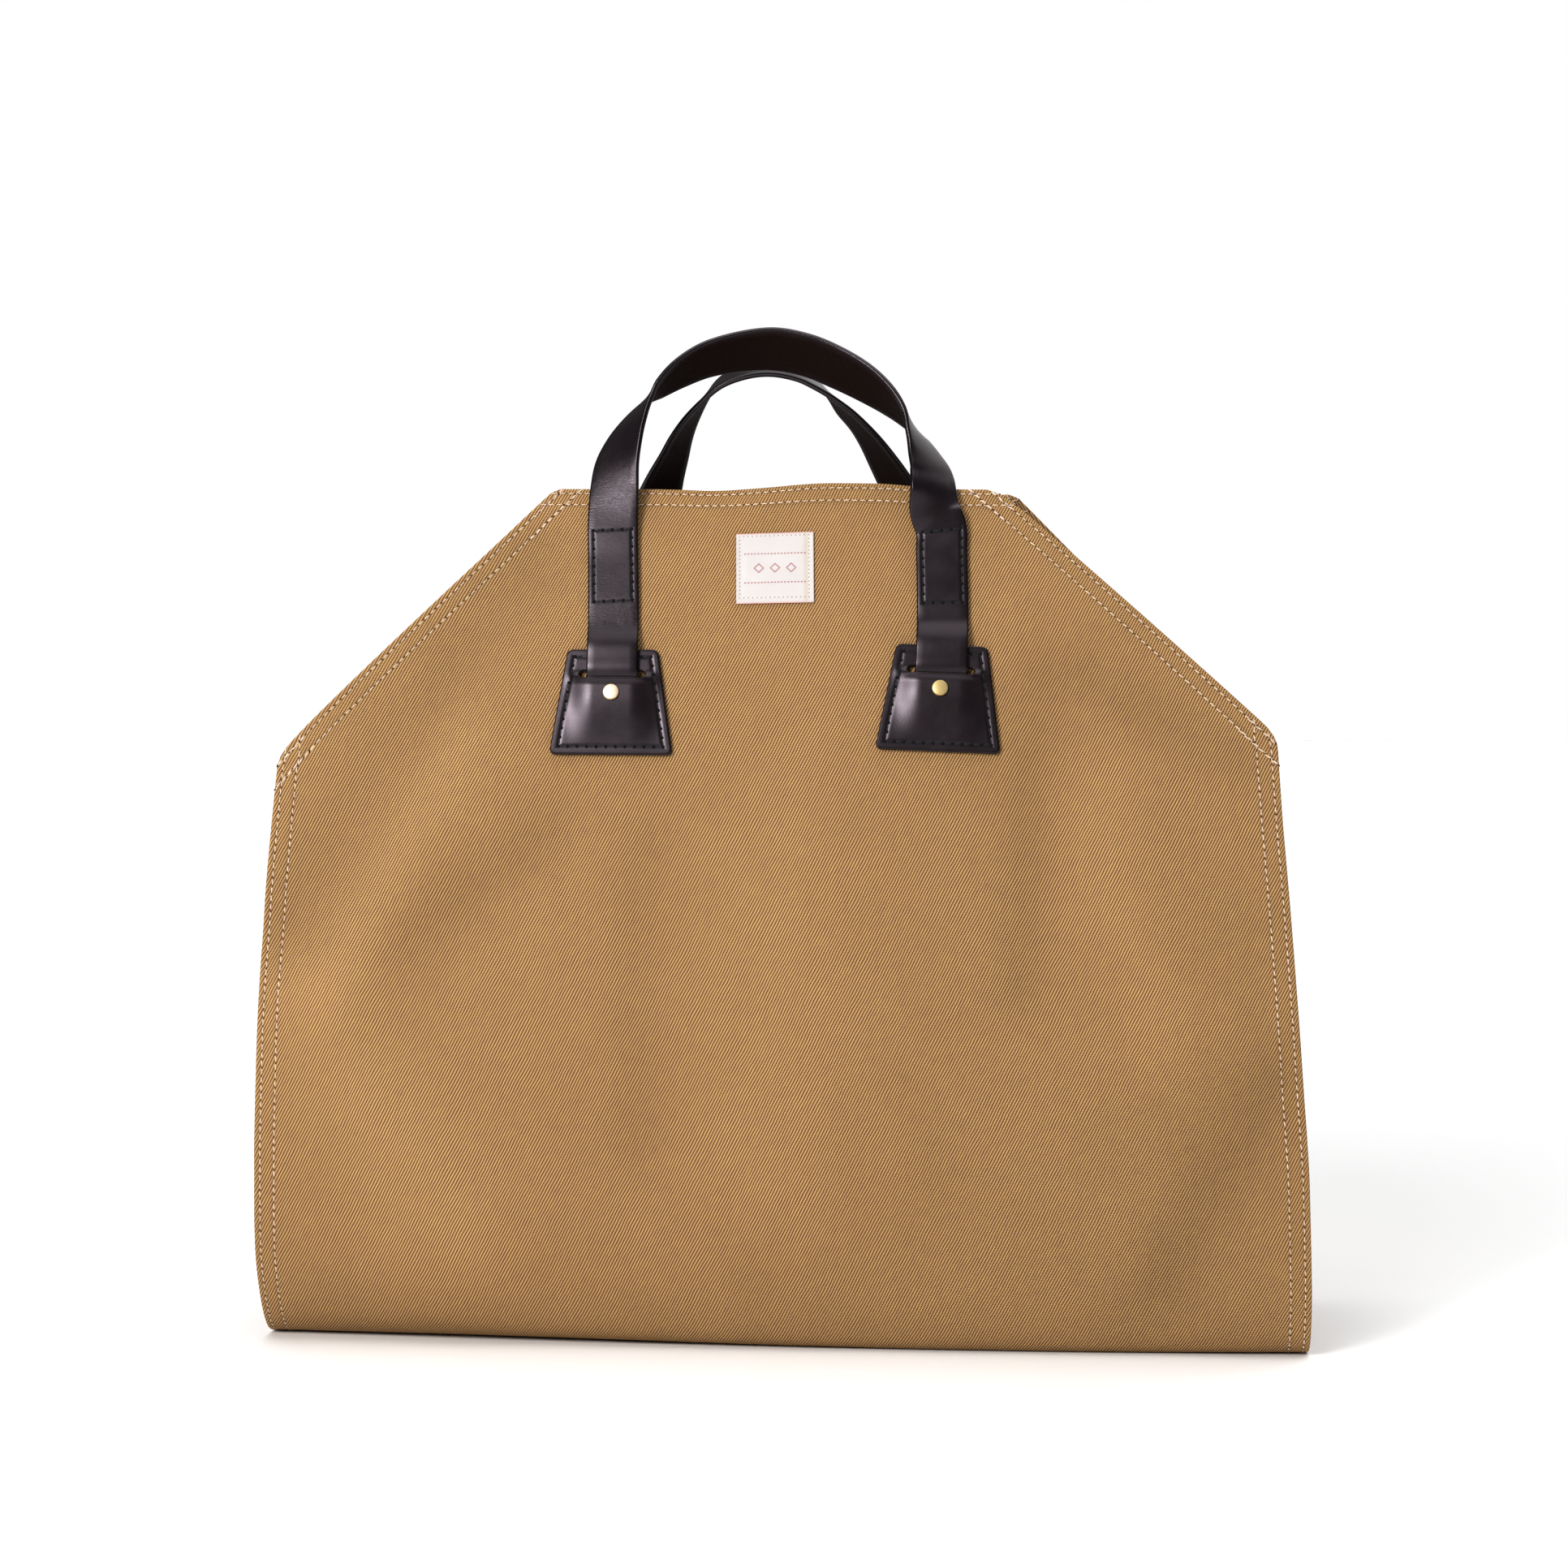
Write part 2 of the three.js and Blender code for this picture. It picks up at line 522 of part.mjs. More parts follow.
// Knots of a strap where it lies on its panel, from the hidden tail up towards the rim. edge is the way, as
// seen from outside, to the edge that turns to the near side in the free stretch.
function layingKnots(panel, side, edge) {
  const place = patchPlace(panel, side);
  const knots = [];
  const leave = STRAP_FREE - place.s; // where the strap leaves the cloth, a little under the rim
  const climb = [patchTop - STRAP_SETTLE, patchTop - STRAP_CLIMB / 2, patchTop - STRAP_CLIMB];
  const breaks = [tailEnd, diveEnd, slotTop, ...climb, leave];
  for (const b of stepsBetween(breaks, STRAP_LAY_STEP)) {
    const rise = smooth(-patchTop, place.s, -b);
    const a = place.leg.drift * STRAP_WIDTH * rise;
    const spot = place.over(a, b);
    const spring = STRAP_SPRING * smooth(-leave - STRAP_LAY_STEP, -leave, -b);
    const h = strapLift(b) + spring + STRAP_THICK / 2;
    const point = panelPoint(panel, spot.x, spot.s, h);
    const left = panelPoint(panel, spot.x - STRAP_WIDTH / 2, spot.s, h);
    const right = panelPoint(panel, spot.x + STRAP_WIDTH / 2, spot.s, h);
    knots.push({ point, near: right.sub(left).multiplyScalar(edge).normalize() });
  }
  return knots;
}

function archKnots(panel) {
  return ARCH[panel].map((row) => {
    const heading = THREE.MathUtils.degToRad(row.heading);
    const pitch = THREE.MathUtils.degToRad(row.pitch);
    const point = new THREE.Vector3(
      row.across * HANDLE_REACH,
      row.depth * halfDepth,
      RIM_HEIGHT + row.rise * HANDLE_RISE,
    );
    const near = new THREE.Vector3(Math.cos(heading), Math.sin(heading), 0).multiplyScalar(Math.cos(pitch));
    near.z = Math.sin(pitch);
    return { point, near };
  });
}

// A strap's section: a flat bar with bevelled edges, with its grain side outward
function strapSection(point, near, grain) {
  const w = STRAP_WIDTH / 2;
  const t = STRAP_THICK / 2;
  const e = STRAP_BEVEL;
  const corners = [[w - e, t], [w, t - e], [w, e - t], [w - e, -t], [e - w, -t], [-w, e - t], [-w, t - e], [e - w, t]];
  return corners.map(([a, b]) => point.clone().addScaledVector(near, a).addScaledVector(grain, b));
}

function strapGeometry(panel) {
  // In world axes a handle runs from its left leg to its right one, and the back panel is seen from behind
  const [first, last] = panel === "front" ? ["left", "right"] : ["right", "left"];
  const down = layingKnots(panel, first, 1);
  const up = layingKnots(panel, last, -1).reverse();
  const knots = [...down, ...archKnots(panel), ...up];
  const path = new THREE.CatmullRomCurve3(knots.map((k) => k.point), false, "centripetal");
  const edge = new THREE.CatmullRomCurve3(knots.map((k) => k.near), false, "catmullrom", 0.5);
  const count = knots.length - 1;
  const stations = [];
  for (let i = 0; i < down.length; i++) stations.push(i);
  const freeSpan = knots.length - down.length - up.length + 1;
  for (let i = 1; i < ARCH_SECTIONS; i++) stations.push(down.length - 1 + (i / ARCH_SECTIONS) * freeSpan);
  for (let i = 0; i < up.length; i++) stations.push(knots.length - up.length + i);
  const nudge = 0.002; // step along the path that gives its direction
  const sections = stations.map((k) => {
    const t = k / count;
    const point = path.getPoint(t);
    const forward = path.getPoint(Math.min(t + nudge, 1)).sub(path.getPoint(Math.max(t - nudge, 0))).normalize();
    const near = edge.getPoint(t);
    near.addScaledVector(forward, -near.dot(forward)).normalize();
    const grain = new THREE.Vector3().crossVectors(near, forward);
    return strapSection(point, near, grain);
  });
  const holes = [first, last].map((side) => rivetHole(patchPlace(panel, side)));
  return cut(tubeOfSections(sections), holes);
}

// One rivet: domed cap outside the patch, shank through the layers and washer inside the canvas
function rivetGeometry(place) {
  const head = strapTop + LAY_GAP + PATCH_THICK + RIVET_GAP;
  const washer = -(CANVAS_WALL + RIVET_GAP);
  const profile = [
    ...WASHER_OUTLINE.map(([r, up]) => [r * RIVET_CAP_RADIUS, washer - up * RIVET_WASHER_THICK]),
    [RIVET_SHANK_RADIUS, washer],
    [RIVET_SHANK_RADIUS, head],
    ...CAP_OUTLINE.map(([r, up]) => [r * RIVET_CAP_RADIUS, head + up * RIVET_CAP_HEIGHT]),
  ];
  const lathe = new THREE.LatheGeometry(profile.map(([x, y]) => new THREE.Vector2(x, y)), RIVET_SIDES);
  return mergeVertices(dropExtras(lathe), 1e-4);
}

function dropExtras(geometry) {
  geometry.deleteAttribute("normal");
  geometry.deleteAttribute("uv");
  return geometry;
}

function labelGeometry() {
  const turn = THREE.MathUtils.degToRad(LABEL_TURN);
  const layer = (h) => {
    const rows = [];
    for (let i = 0; i <= LABEL_CELLS; i++) {
      const b = (i / LABEL_CELLS - 0.5) * LABEL_HEIGHT;
      const row = [];
      for (let j = 0; j <= LABEL_CELLS; j++) {
        const a = (j / LABEL_CELLS - 0.5) * LABEL_WIDTH;
        const x = LABEL_X + a * Math.cos(turn) + b * Math.sin(turn);
        const s = LABEL_DROP + LABEL_HEIGHT / 2 - a * Math.sin(turn) + b * Math.cos(turn);
        row.push(frontPoint(x, s, h));
      }
      rows.push(row);
    }
    return rows;
  };
  return plateOfGrids(layer(LAY_GAP + LABEL_THICK), layer(LAY_GAP));
}

// Rows of the canvas mesh: distances from the front rim, with a row on each hem line and shoulder
function canvasRows() {
  const shoulders = CUT.slice(1, 3).map((row) => row.along * halfLength);
  const turnStart = TURN_START * halfLength;
  const turnEnd = TURN_END * halfLength;
  const breaks = [
    [0, HEM_WIDTH, HEM_WIDTH],
    [HEM_WIDTH, HEM_WIDTH + HEM_STEP, HEM_STEP],
    [HEM_WIDTH + HEM_STEP, shoulders[0], ROW_STEP],
    [shoulders[0], shoulders[1], ROW_STEP],
    [shoulders[1], turnStart, ROW_STEP],
    [turnStart, turnEnd, TURN_STEP],
    [turnEnd, halfLength, 2 * ROW_STEP],
  ];
  return [0, ...breaks.flatMap(([from, to, step]) => stepsBetween([from, to], step).slice(1))];
}

// Columns of the canvas mesh at one row, from the left edge to the right one
function canvasColumns(s) {
  const slant = (side) => {
    const [low, high] = [Math.max(s - HEM_WIDTH, 0), Math.min(s + HEM_WIDTH, halfLength)];
    const slope = (cutWidth(high, side) - cutWidth(low, side)) / (high - low);
    return Math.hypot(1, slope);
  };
  const [left, right] = [-cutWidth(s, "left"), cutWidth(s, "right")];
  const [leftHem, rightHem] = [slant("left"), slant("right")];
  const inLeft = left + (HEM_WIDTH + HEM_STEP) * leftHem;
  const inRight = right - (HEM_WIDTH + HEM_STEP) * rightHem;
  const columns = [left, left + HEM_WIDTH * leftHem];
  for (let i = 0; i <= CELLS_ACROSS; i++) columns.push(THREE.MathUtils.lerp(inLeft, inRight, i / CELLS_ACROSS));
  columns.push(right - HEM_WIDTH * rightHem, right);
  return columns;
}

function canvasGeometry() {
  const outer = [];
  const inner = [];
  for (const s of canvasRows()) {
    const columns = canvasColumns(s);
    const wall = columns.map((_, j) => {
      const onHem = s <= HEM_WIDTH || j < 2 || j > columns.length - 3;
      return CANVAS_WALL + (onHem ? HEM_FOLD : 0);
    });
    outer.push(columns.map((x) => frontPoint(x, s, 0)));
    inner.push(columns.map((x, j) => frontPoint(x, s, -wall[j])));
  }
  // The back half is the front one turned about Z; both share the row at the middle of the base
  const turned = (rows) => {
    const back = rows.slice(0, -1).map((row) => row.map((p) => p.clone().applyAxisAngle(aboutZ, Math.PI)).reverse());
    return [...rows, ...back.reverse()];
  };
  const sheet = plateOfGrids(turned(outer), turned(inner));
  return cut(sheet, legPlaces().map(rivetHole));
}

function legPlaces() {
  return ["front", "back"].flatMap((panel) => ["left", "right"].map((side) => patchPlace(panel, side)));
}

function meshOf(name, geometry, look) {
  const mesh = new THREE.Mesh(geometry, new THREE.MeshStandardMaterial(COLOURS[look]));
  mesh.name = name;
  return mesh;
}

// Stands a lathed rivet on the cloth at its leg's rivet
function placeRivet(mesh, place) {
  const spot = place.over(0, rivetDown);
  mesh.position.copy(panelPoint(place.panel, spot.x, spot.s, 0));
  const normal = panelNormal(place.panel, spot.x, spot.s);
  mesh.quaternion.setFromUnitVectors(new THREE.Vector3(0, 1, 0), normal);
}

function buildCarrier() {
  const carrier = new THREE.Group();
  carrier.add(meshOf("canvas_body", canvasGeometry(), "canvas"));
  carrier.add(meshOf("label", labelGeometry(), "label"));
  for (const panel of ["front", "back"]) {
    const side = new THREE.Group();
    side.add(meshOf(`handle_${panel}`, strapGeometry(panel), "leather"));
    for (const hand of ["left", "right"]) {
      const place = patchPlace(panel, hand);
      side.add(meshOf(`patch_${panel}_${hand}`, patchGeometry(place), "leather"));
      const rivet = meshOf(`rivet_${panel}_${hand}`, rivetGeometry(place), "rivet");
      placeRivet(rivet, place);
      side.add(rivet);
    }
    carrier.add(side);
  }
  return carrier;
}

export default buildCarrier();
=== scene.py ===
"""Log carrier: a heavy twill cradle with leather strap handles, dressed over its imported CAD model."""

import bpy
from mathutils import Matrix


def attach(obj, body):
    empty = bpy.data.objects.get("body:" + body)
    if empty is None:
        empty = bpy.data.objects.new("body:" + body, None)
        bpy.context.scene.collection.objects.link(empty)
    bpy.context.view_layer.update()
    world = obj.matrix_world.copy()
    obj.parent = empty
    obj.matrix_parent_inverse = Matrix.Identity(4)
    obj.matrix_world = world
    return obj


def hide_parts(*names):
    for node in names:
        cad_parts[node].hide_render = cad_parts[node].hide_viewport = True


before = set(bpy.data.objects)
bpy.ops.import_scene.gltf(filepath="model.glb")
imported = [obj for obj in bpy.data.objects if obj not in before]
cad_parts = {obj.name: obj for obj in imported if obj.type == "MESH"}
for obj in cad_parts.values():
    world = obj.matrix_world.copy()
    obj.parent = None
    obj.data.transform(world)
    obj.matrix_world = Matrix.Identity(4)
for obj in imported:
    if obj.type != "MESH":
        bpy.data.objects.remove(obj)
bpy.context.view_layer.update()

import logging
import math
from dataclasses import dataclass, field
from enum import Enum
from typing import Callable, Optional, Sequence, Union

import bmesh
import bpy
import numpy as np
from mathutils import Vector
from mathutils.geometry import delaunay_2d_cdt

Array = np.ndarray
Colour = tuple[float, float, float]
Number = Union[float, "Wire"]
Settings = Optional[dict[str, object]]
Inputs = Optional[dict[Union[int, str], object]]

log = logging.getLogger("log_carrier")
MILLIMETRE = 0.001
MILLIMETRES = 1000.0


class Panel(Enum):
    """The two faces of the cradle."""

    FRONT = "front"
    BACK = "back"


class Side(Enum):
    """Side of a panel, as seen from outside it."""

    LEFT = "left"
    RIGHT = "right"


# Curves and the canvas form, all in millimetres


class PathCurve:
    """Catmull-Rom curve through a row of knots, open at both ends."""

    def __init__(self, knots: Array, centripetal: bool = True) -> None:
        """Works out each span's cubic.

        Args:
            knots: Points, one a row.
            centripetal: Knot spacing by the root of the distance, or else uniform.
        """
        inner = np.asarray(knots, float)
        p = np.vstack([2 * inner[0] - inner[1], inner, 2 * inner[-1] - inner[-2]])
        x0, x1, x2, x3 = p[:-3], p[1:-2], p[2:-1], p[3:]
        if centripetal:
            gap = np.sqrt(np.linalg.norm(np.diff(p, axis=0), axis=1))[:, None]
            d0, d1, d2 = gap[:-2], gap[1:-1], gap[2:]
            t1 = ((x1 - x0) / d0 - (x2 - x0) / (d0 + d1) + (x2 - x1) / d1) * d1
            t2 = ((x2 - x1) / d1 - (x3 - x1) / (d1 + d2) + (x3 - x2) / d2) * d1
        else:
            t1, t2 = (x2 - x0) / 2, (x3 - x1) / 2
        self.cubic = np.stack([x1, t1, 3 * (x2 - x1) - 2 * t1 - t2, 2 * (x1 - x2) + t1 + t2])
        self.spans = len(inner) - 1
        self.ticks = np.linspace(0, 1, 601)
        steps = np.linalg.norm(np.diff(self.point(self.ticks), axis=0), axis=1)
        self.lengths = np.concatenate([[0], np.cumsum(steps)])

    def point(self, t: Array) -> Array:
        """Points at the curve's own parameter, from 0 to 1."""
        place = np.clip(np.asarray(t, float), 0, 1) * self.spans
        span = np.minimum(place.astype(int), self.spans - 1)
        w = (place - span)[..., None]
        c0, c1, c2, c3 = self.cubic[:, span]
        return c0 + w * (c1 + w * (c2 + w * c3))

    def point_at(self, share: Array) -> Array:
        """Points at shares of the curve's length, from 0 to 1."""
        t = np.interp(np.asarray(share) * self.lengths[-1], self.lengths, self.ticks)
        return self.point(t)


def smooth(low: float, high: float, value: Array) -> Array:
    """Smooth step from 0 at low to 1 at high."""
    t = np.clip((np.asarray(value, float) - low) / (high - low), 0, 1)
    return t * t * (3 - 2 * t)


def hump(centre: float, spread: float, value: Array) -> Array:
    """Bell of height 1 at centre."""
    return np.exp(-(((np.asarray(value, float) - centre) / spread) ** 2))


def unit(vectors: Array) -> Array:
    """The vectors with length 1."""
    return vectors / np.linalg.norm(vectors, axis=-1, keepdims=True)


def spread(*values: Array) -> list[Array]:
    """The values as arrays of one shape."""
    return np.broadcast_arrays(*(np.asarray(value, float) for value in values))


def steps_between(breaks: Sequence[float], step: float) -> list[float]:
    """Values from the first break to the last: every break is kept, and no step is longer than step."""
    values = [breaks[0]]
    for low, high in zip(breaks[:-1], breaks[1:]):
        cells = max(1, math.ceil(abs(high - low) / step - 1e-6))
        values += [low + (high - low) * i / cells for i in range(1, cells + 1)]
    return values


# Height, tilt, depth, and the fall of the left and right ends, from the rim to the middle of the base
SECTION = (
    (1.002, -0.0074, 0.349, 0, 0),
    (0.94, -0.006, 0.478, 0, 0),
    (0.86, 0, 0.618, 0, 0),
    (0.78, 0, 0.738, 0, 0),
    (0.7, 0, 0.841, 0.02, 0.01),
    (0.6, 0, 0.92, 0.02, 0.01),
    (0.48, 0, 0.971, 0.01, 0),
    (0.34, 0, 0.997, 0, 0),
    (0.22, 0, 1, 0.01, 0),
    (0.11, 0, 0.985, 0.04, 0),
    (0.048, 0, 0.94, 0.13, 0),
    (0.011, 0, 0.86, 0.21, 0.01),
    (0, 0, 0.74, 0.24, 0.02),
    (0, 0, 0.4, 0.12, 0.01),
    (0, 0, 0, 0, 0),
)
# Way from the rim, and the half-widths left and right
CUT = (
    (0, 0.4465, 0.4134),
    (0.256, 0.908, 0.9345),
    (0.287, 0.959, 0.937),
    (0.34, 0.966, 0.943),
    (0.43, 0.979, 0.957),
    (0.56, 0.989, 0.976),
    (0.68, 0.997, 0.992),
    (0.8, 1, 0.999),
    (1, 1, 1),
)
# Start x and s, end x and s, width, depth
FOLDS = (
    (-0.47, 0.07, -0.92, 0.45, 0.4, -0.04),
    (-0.58, 0.27, -0.84, 0.52, 0.34, 0.035),
    (-0.42, 0.36, -0.67, 0.47, 0.3, -0.036),
    (-0.86, 0.56, -0.62, 0.76, 0.6, 0.04),
    (-0.24, 0.36, -0.25, 0.66, 0.26, -0.022),
    (0.02, 0.42, 0, 0.66, 0.7, 0.03),
    (0.51, 0.2, 0.48, 0.5, 0.25, -0.032),
    (0.6, 0.2, 0.88, 0.28, 0.26, -0.034),
    (0.62, 0.34, 0.74, 0.55, 0.4, 0.034),
    (0.94, 0.6, 0.73, 0.8, 0.34, -0.04),
)
# Where the rim's edge stands up or sags: x, spread and height
RIM_WAVE = ((24, 32, 3.4), (62, 24, 2.3), (-42, 20, -1.0))


@dataclass
class CanvasForm:
    """The bent sheet as a surface over flat places: x across it, and s along it from the front rim."""

    sheet_width: float = 611.0
    rim_height: float = 500.0
    cradle_depth: float = 195.0
    wave_reach: float = 20.0
    shoulder_round: float = 7.0
    rim_round: dict[Side, float] = field(default_factory=lambda: {Side.LEFT: 3.6, Side.RIGHT: 7.0})
    half_length: float = field(init=False)

    def __post_init__(self) -> None:
        """Draws the sections at the left end, the middle and the right end."""
        self.half_width = self.sheet_width / 2
        self.half_depth = self.cradle_depth / 2
        self.curves = [self._section(side) for side in (-1, 0, 1)]
        self.half_length = float(self.curves[1].lengths[-1])

    def _section(self, side: int) -> PathCurve:
        """Section of the front half at one end, -1 or 1, or in the middle, 0."""
        rows = []
        for height, tilt, depth, left, right in SECTION:
            fall = left if side < 0 else right if side > 0 else 0
            rows.append([-(depth - fall) * self.half_depth, (height + tilt / 2 * side) * self.rim_height])
        return PathCurve(np.array(rows))

    def cut_width(self, s: Array, side: Side) -> Array:
        """Half-width of the cut sheet, with round corners, at s millimetres from a rim."""
        table = np.array(CUT)
        ways = table[:, 0] * self.half_length
        widths = table[:, 1 if side is Side.LEFT else 2] * self.half_width
        slope = (widths[1] - widths[0]) / (ways[1] - ways[0])
        ways, widths = np.insert(ways, 0, -50.0), np.insert(widths, 0, widths[0] - 50.0 * slope)
        s = np.asarray(s, float)
        reach = self.shoulder_round * np.linspace(-1, 1, 7)
        even = sum(np.interp(s + step, ways, widths) for step in reach) / len(reach)
        return even - self.rim_round[side] * np.clip(1 - s / self.rim_round[side], 0, 1) ** 2

    def fold_height(self, x: Array, s: Array) -> Array:
        """Height of the soft folds above the plain section."""
        height = np.zeros(np.shape(x))
        for x0, s0, x1, s1, width, depth in FOLDS:
            start = np.array([x0 * self.half_width, s0 * self.half_length])
            run = np.array([x1 * self.half_width, s1 * self.half_length]) - start
            dx, ds = x - start[0], s - start[1]
            t = np.clip((dx * run[0] + ds * run[1]) / (run @ run), 0, 1)
            away = np.hypot(dx - t * run[0], ds - t * run[1]) / (width * self.half_depth)
            height += depth * self.half_depth * np.exp(-2 * away * away)
        share = s / self.half_length
        return height * smooth(0, 0.08, share) * (1 - smooth(0.8, 0.9, share))

    def _plain(self, x: Array, s: Array) -> Array:
        """Plain section without folds: three curves blended across the width."""
        share = np.clip(s / self.half_length, 0, 1)
        v = x / self.half_width
        weights = ((v * v - v) / 2, 1 - v * v, (v * v + v) / 2)
        yz = sum(w[..., None] * curve.point_at(share) for w, curve in zip(weights, self.curves))
        wave = sum(tall * hump(at, spread, x) for at, spread, tall in RIM_WAVE)
        z = np.maximum(yz[..., 1], 0) + wave * hump(0, self.wave_reach, s)
        return np.stack([x, yz[..., 0], z], axis=-1)

    def slant(self, side: Side) -> Array:
        """Flat corners of a slanted edge, from the rim down to the shoulder."""
        last, column, sign = (3, 1, -1) if side is Side.LEFT else (2, 2, 1)
        table = np.array(CUT[:last])
        return np.stack([sign * table[:, column] * self.half_width, table[:, 0] * self.half_length], axis=1)

    def _normal(self, surface: Callable[[Array, Array], Array], x: Array, s: Array) -> Array:
        """Outward normal of a surface over the flat places."""
        step = 1.5
        across = surface(x + step, s) - surface(x - step, s)
        along = surface(x, np.minimum(s + step, self.half_length)) - surface(x, np.maximum(s - step, 0))
        return unit(np.cross(along, across))

    def _folded(self, x: Array, s: Array) -> Array:
        """Front half with its folds."""
        lift = self.fold_height(x, s)[..., None]
        return self._plain(x, s) + self._normal(self._plain, x, s) * lift

    def panel_point(self, panel: Panel, x: Array, s: Array, h: Array) -> Array:
        """Points at height h over the outer face of a panel.

        Args:
            panel: The panel, from whose rim s runs.
            x: Place across, as seen from outside the panel.
            s: Place along the cloth.
            h: Height above the outer face.

        Returns:
            Points in world axes.
        """
        x, s, h = spread(x, s, h)
        points = self._folded(x, s) + self._normal(self._folded, x, s) * h[..., None]
        return points * self._turn(panel)

    def panel_normal(self, panel: Panel, x: Array, s: Array) -> Array:
        """Outward normals of a panel."""
        x, s = spread(x, s)
        return self._normal(self._folded, x, s) * self._turn(panel)

    @staticmethod
    def _turn(panel: Panel) -> Array:
        """Signs that turn the front half about Z to the back."""
        return np.array([-1.0, -1.0, 1.0]) if panel is Panel.BACK else np.ones(3)

    def sheet_point(self, x: Array, run: Array, h: Array) -> Array:
        """Points over the whole sheet, where run goes from the front rim to the back one."""
        x, run, h = spread(x, run, h)
        back = run > self.half_length
        front = self.panel_point(Panel.FRONT, x, run, h)
        behind = self.panel_point(Panel.BACK, -x, 2 * self.half_length - run, h)
        return np.where(back[..., None], behind, front)

    def sheet_normal(self, x: Array, run: Array) -> Array:
        """Outward normals over the whole sheet."""
        x, run = spread(x, run)
        back = run > self.half_length
        front = self.panel_normal(Panel.FRONT, x, run)
        behind = self.panel_normal(Panel.BACK, -x, 2 * self.half_length - run)
        return np.where(back[..., None], behind, front)

    def sheet_edges(self, run: Array) -> tuple[Array, Array]:
        """World x of the sheet's two side edges along its run."""
        back = np.asarray(run) > self.half_length
        s = np.where(back, 2 * self.half_length - run, run)
        left, right = self.cut_width(s, Side.LEFT), self.cut_width(s, Side.RIGHT)
        return -np.where(back, right, left), np.where(back, left, right)


# Meshes


def placed(name: str, data: bpy.types.ID) -> bpy.types.Object:
    """A new object in the scene."""
    made = bpy.data.objects.new(name, data)
    bpy.context.scene.collection.objects.link(made)
    return made


def mesh_object(
    name: str,
    points: Array,
    faces: Sequence[Sequence[int]],
    material: bpy.types.Material,
    uv: Optional[Array] = None,
    marks: Optional[dict[str, Array]] = None,
) -> bpy.types.Object:
    """Makes a smooth mesh object from millimetres.

    Args:
        name: The piece's name.
        points: Vertices in millimetres.
        faces: Rows of vertex numbers.
        material: The piece's material.
        uv: Place on the material's own map, one a vertex, in metres.
        marks: Numbers for the material, one a vertex.

    Returns:
        The object, linked to the scene.
    """
    mesh = bpy.data.meshes.new(name)
    mesh.from_pydata((np.asarray(points) * MILLIMETRE).tolist(), [], [list(f) for f in faces])
    mesh.update()
    corners = np.empty(len(mesh.loops), np.int32)
    mesh.loops.foreach_get("vertex_index", corners)
    if uv is not None:
        layer = mesh.uv_layers.new(name="surface")
        layer.uv.foreach_set("vector", np.asarray(uv, np.float32)[corners].ravel())
    for key, values in (marks or {}).items():
        mark = mesh.attributes.new(key, "FLOAT", "POINT")
        mark.data.foreach_set("value", np.asarray(values, np.float32))
    mesh.shade_smooth()
    mesh.materials.append(material)
    return placed(name, mesh)


def grid_faces(rows: int, columns: int, offset: int = 0, flip: bool = False) -> list[tuple[int, ...]]:
    """Quads of a grid of vertices laid row by row."""
    faces = []
    for i in range(rows - 1):
        for j in range(columns - 1):
            a = offset + i * columns + j
            quad = (a, a + 1, a + columns + 1, a + columns)
            faces.append(quad[::-1] if flip else quad)
    return faces


def ring_faces(first: Sequence[int], second: Sequence[int], flip: bool = False) -> list[tuple[int, ...]]:
    """Quads between two closed rings of the same length."""
    count = len(first)
    faces = []
    for k in range(count):
        n = (k + 1) % count
        quad = (first[k], first[n], second[n], second[k])
        faces.append(quad[::-1] if flip else quad)
    return faces


def grid_border(rows: int, columns: int) -> list[int]:
    """Vertex numbers round a grid."""
    top = list(range(columns - 1))
    right = [i * columns + columns - 1 for i in range(rows - 1)]
    bottom = [(rows - 1) * columns + j for j in range(columns - 1, 0, -1)]
    left = [i * columns for i in range(rows - 1, 0, -1)]
    return top + right + bottom + left


# Shader building


class Wire:
    """A node's output that takes part in arithmetic."""

    def __init__(self, bench: "Bench", socket: bpy.types.NodeSocket) -> None:
        """Wraps a socket of the bench's material."""
        self.bench = bench
        self.socket = socket

    def _math(self, operation: str, first: Number, second: Number = 0.0) -> "Wire":
        """One Math node."""
        return self.bench.wire("ShaderNodeMath", {"operation": operation}, {0: first, 1: second})

    def __add__(self, other: Number) -> "Wire":
        """Sum."""
        return self._math("ADD", self, other)

    __radd__ = __add__

    def __sub__(self, other: Number) -> "Wire":
        """Difference."""
        return self._math("SUBTRACT", self, other)

    def __rsub__(self, other: Number) -> "Wire":
        """Reflected difference."""
        return self._math("SUBTRACT", other, self)

    def __mul__(self, other: Number) -> "Wire":
        """Product."""
        return self._math("MULTIPLY", self, other)

    __rmul__ = __mul__

    def __truediv__(self, other: Number) -> "Wire":
        """Quotient."""
        return self._math("DIVIDE", self, other)

    def __abs__(self) -> "Wire":
        """Size without sign."""
        return self._math("ABSOLUTE", self)

    def floor(self) -> "Wire":
        """Whole part."""
        return self._math("FLOOR", self)

    def fract(self) -> "Wire":
        """Part after the point."""
        return self._math("FRACT", self)

    def cosine(self) -> "Wire":
        """Cosine of radians."""
        return self._math("COSINE", self)

    def wave(self) -> "Wire":
        """Cosine wave of period 1, from 0 to 1."""
        return (self * math.tau).cosine() * 0.5 + 0.5

    def most(self, other: Number) -> "Wire":
        """The larger of two."""
        return self._math("MAXIMUM", self, other)

    def ramp(self, low: float, high: float) -> "Wire":
        """Smooth step from 0 at low to 1 at high."""
        settings = {"interpolation_type": "SMOOTHSTEP"}
        return self.bench.wire("ShaderNodeMapRange", settings, {0: self, 1: low, 2: high, 3: 0.0, 4: 1.0})

    def bell(self, centre: Number, spread: float) -> "Wire":
        """Bell of height 1 at centre."""
        away = (self - centre) / spread
        return self._math("EXPONENT", away * away * -1.0)


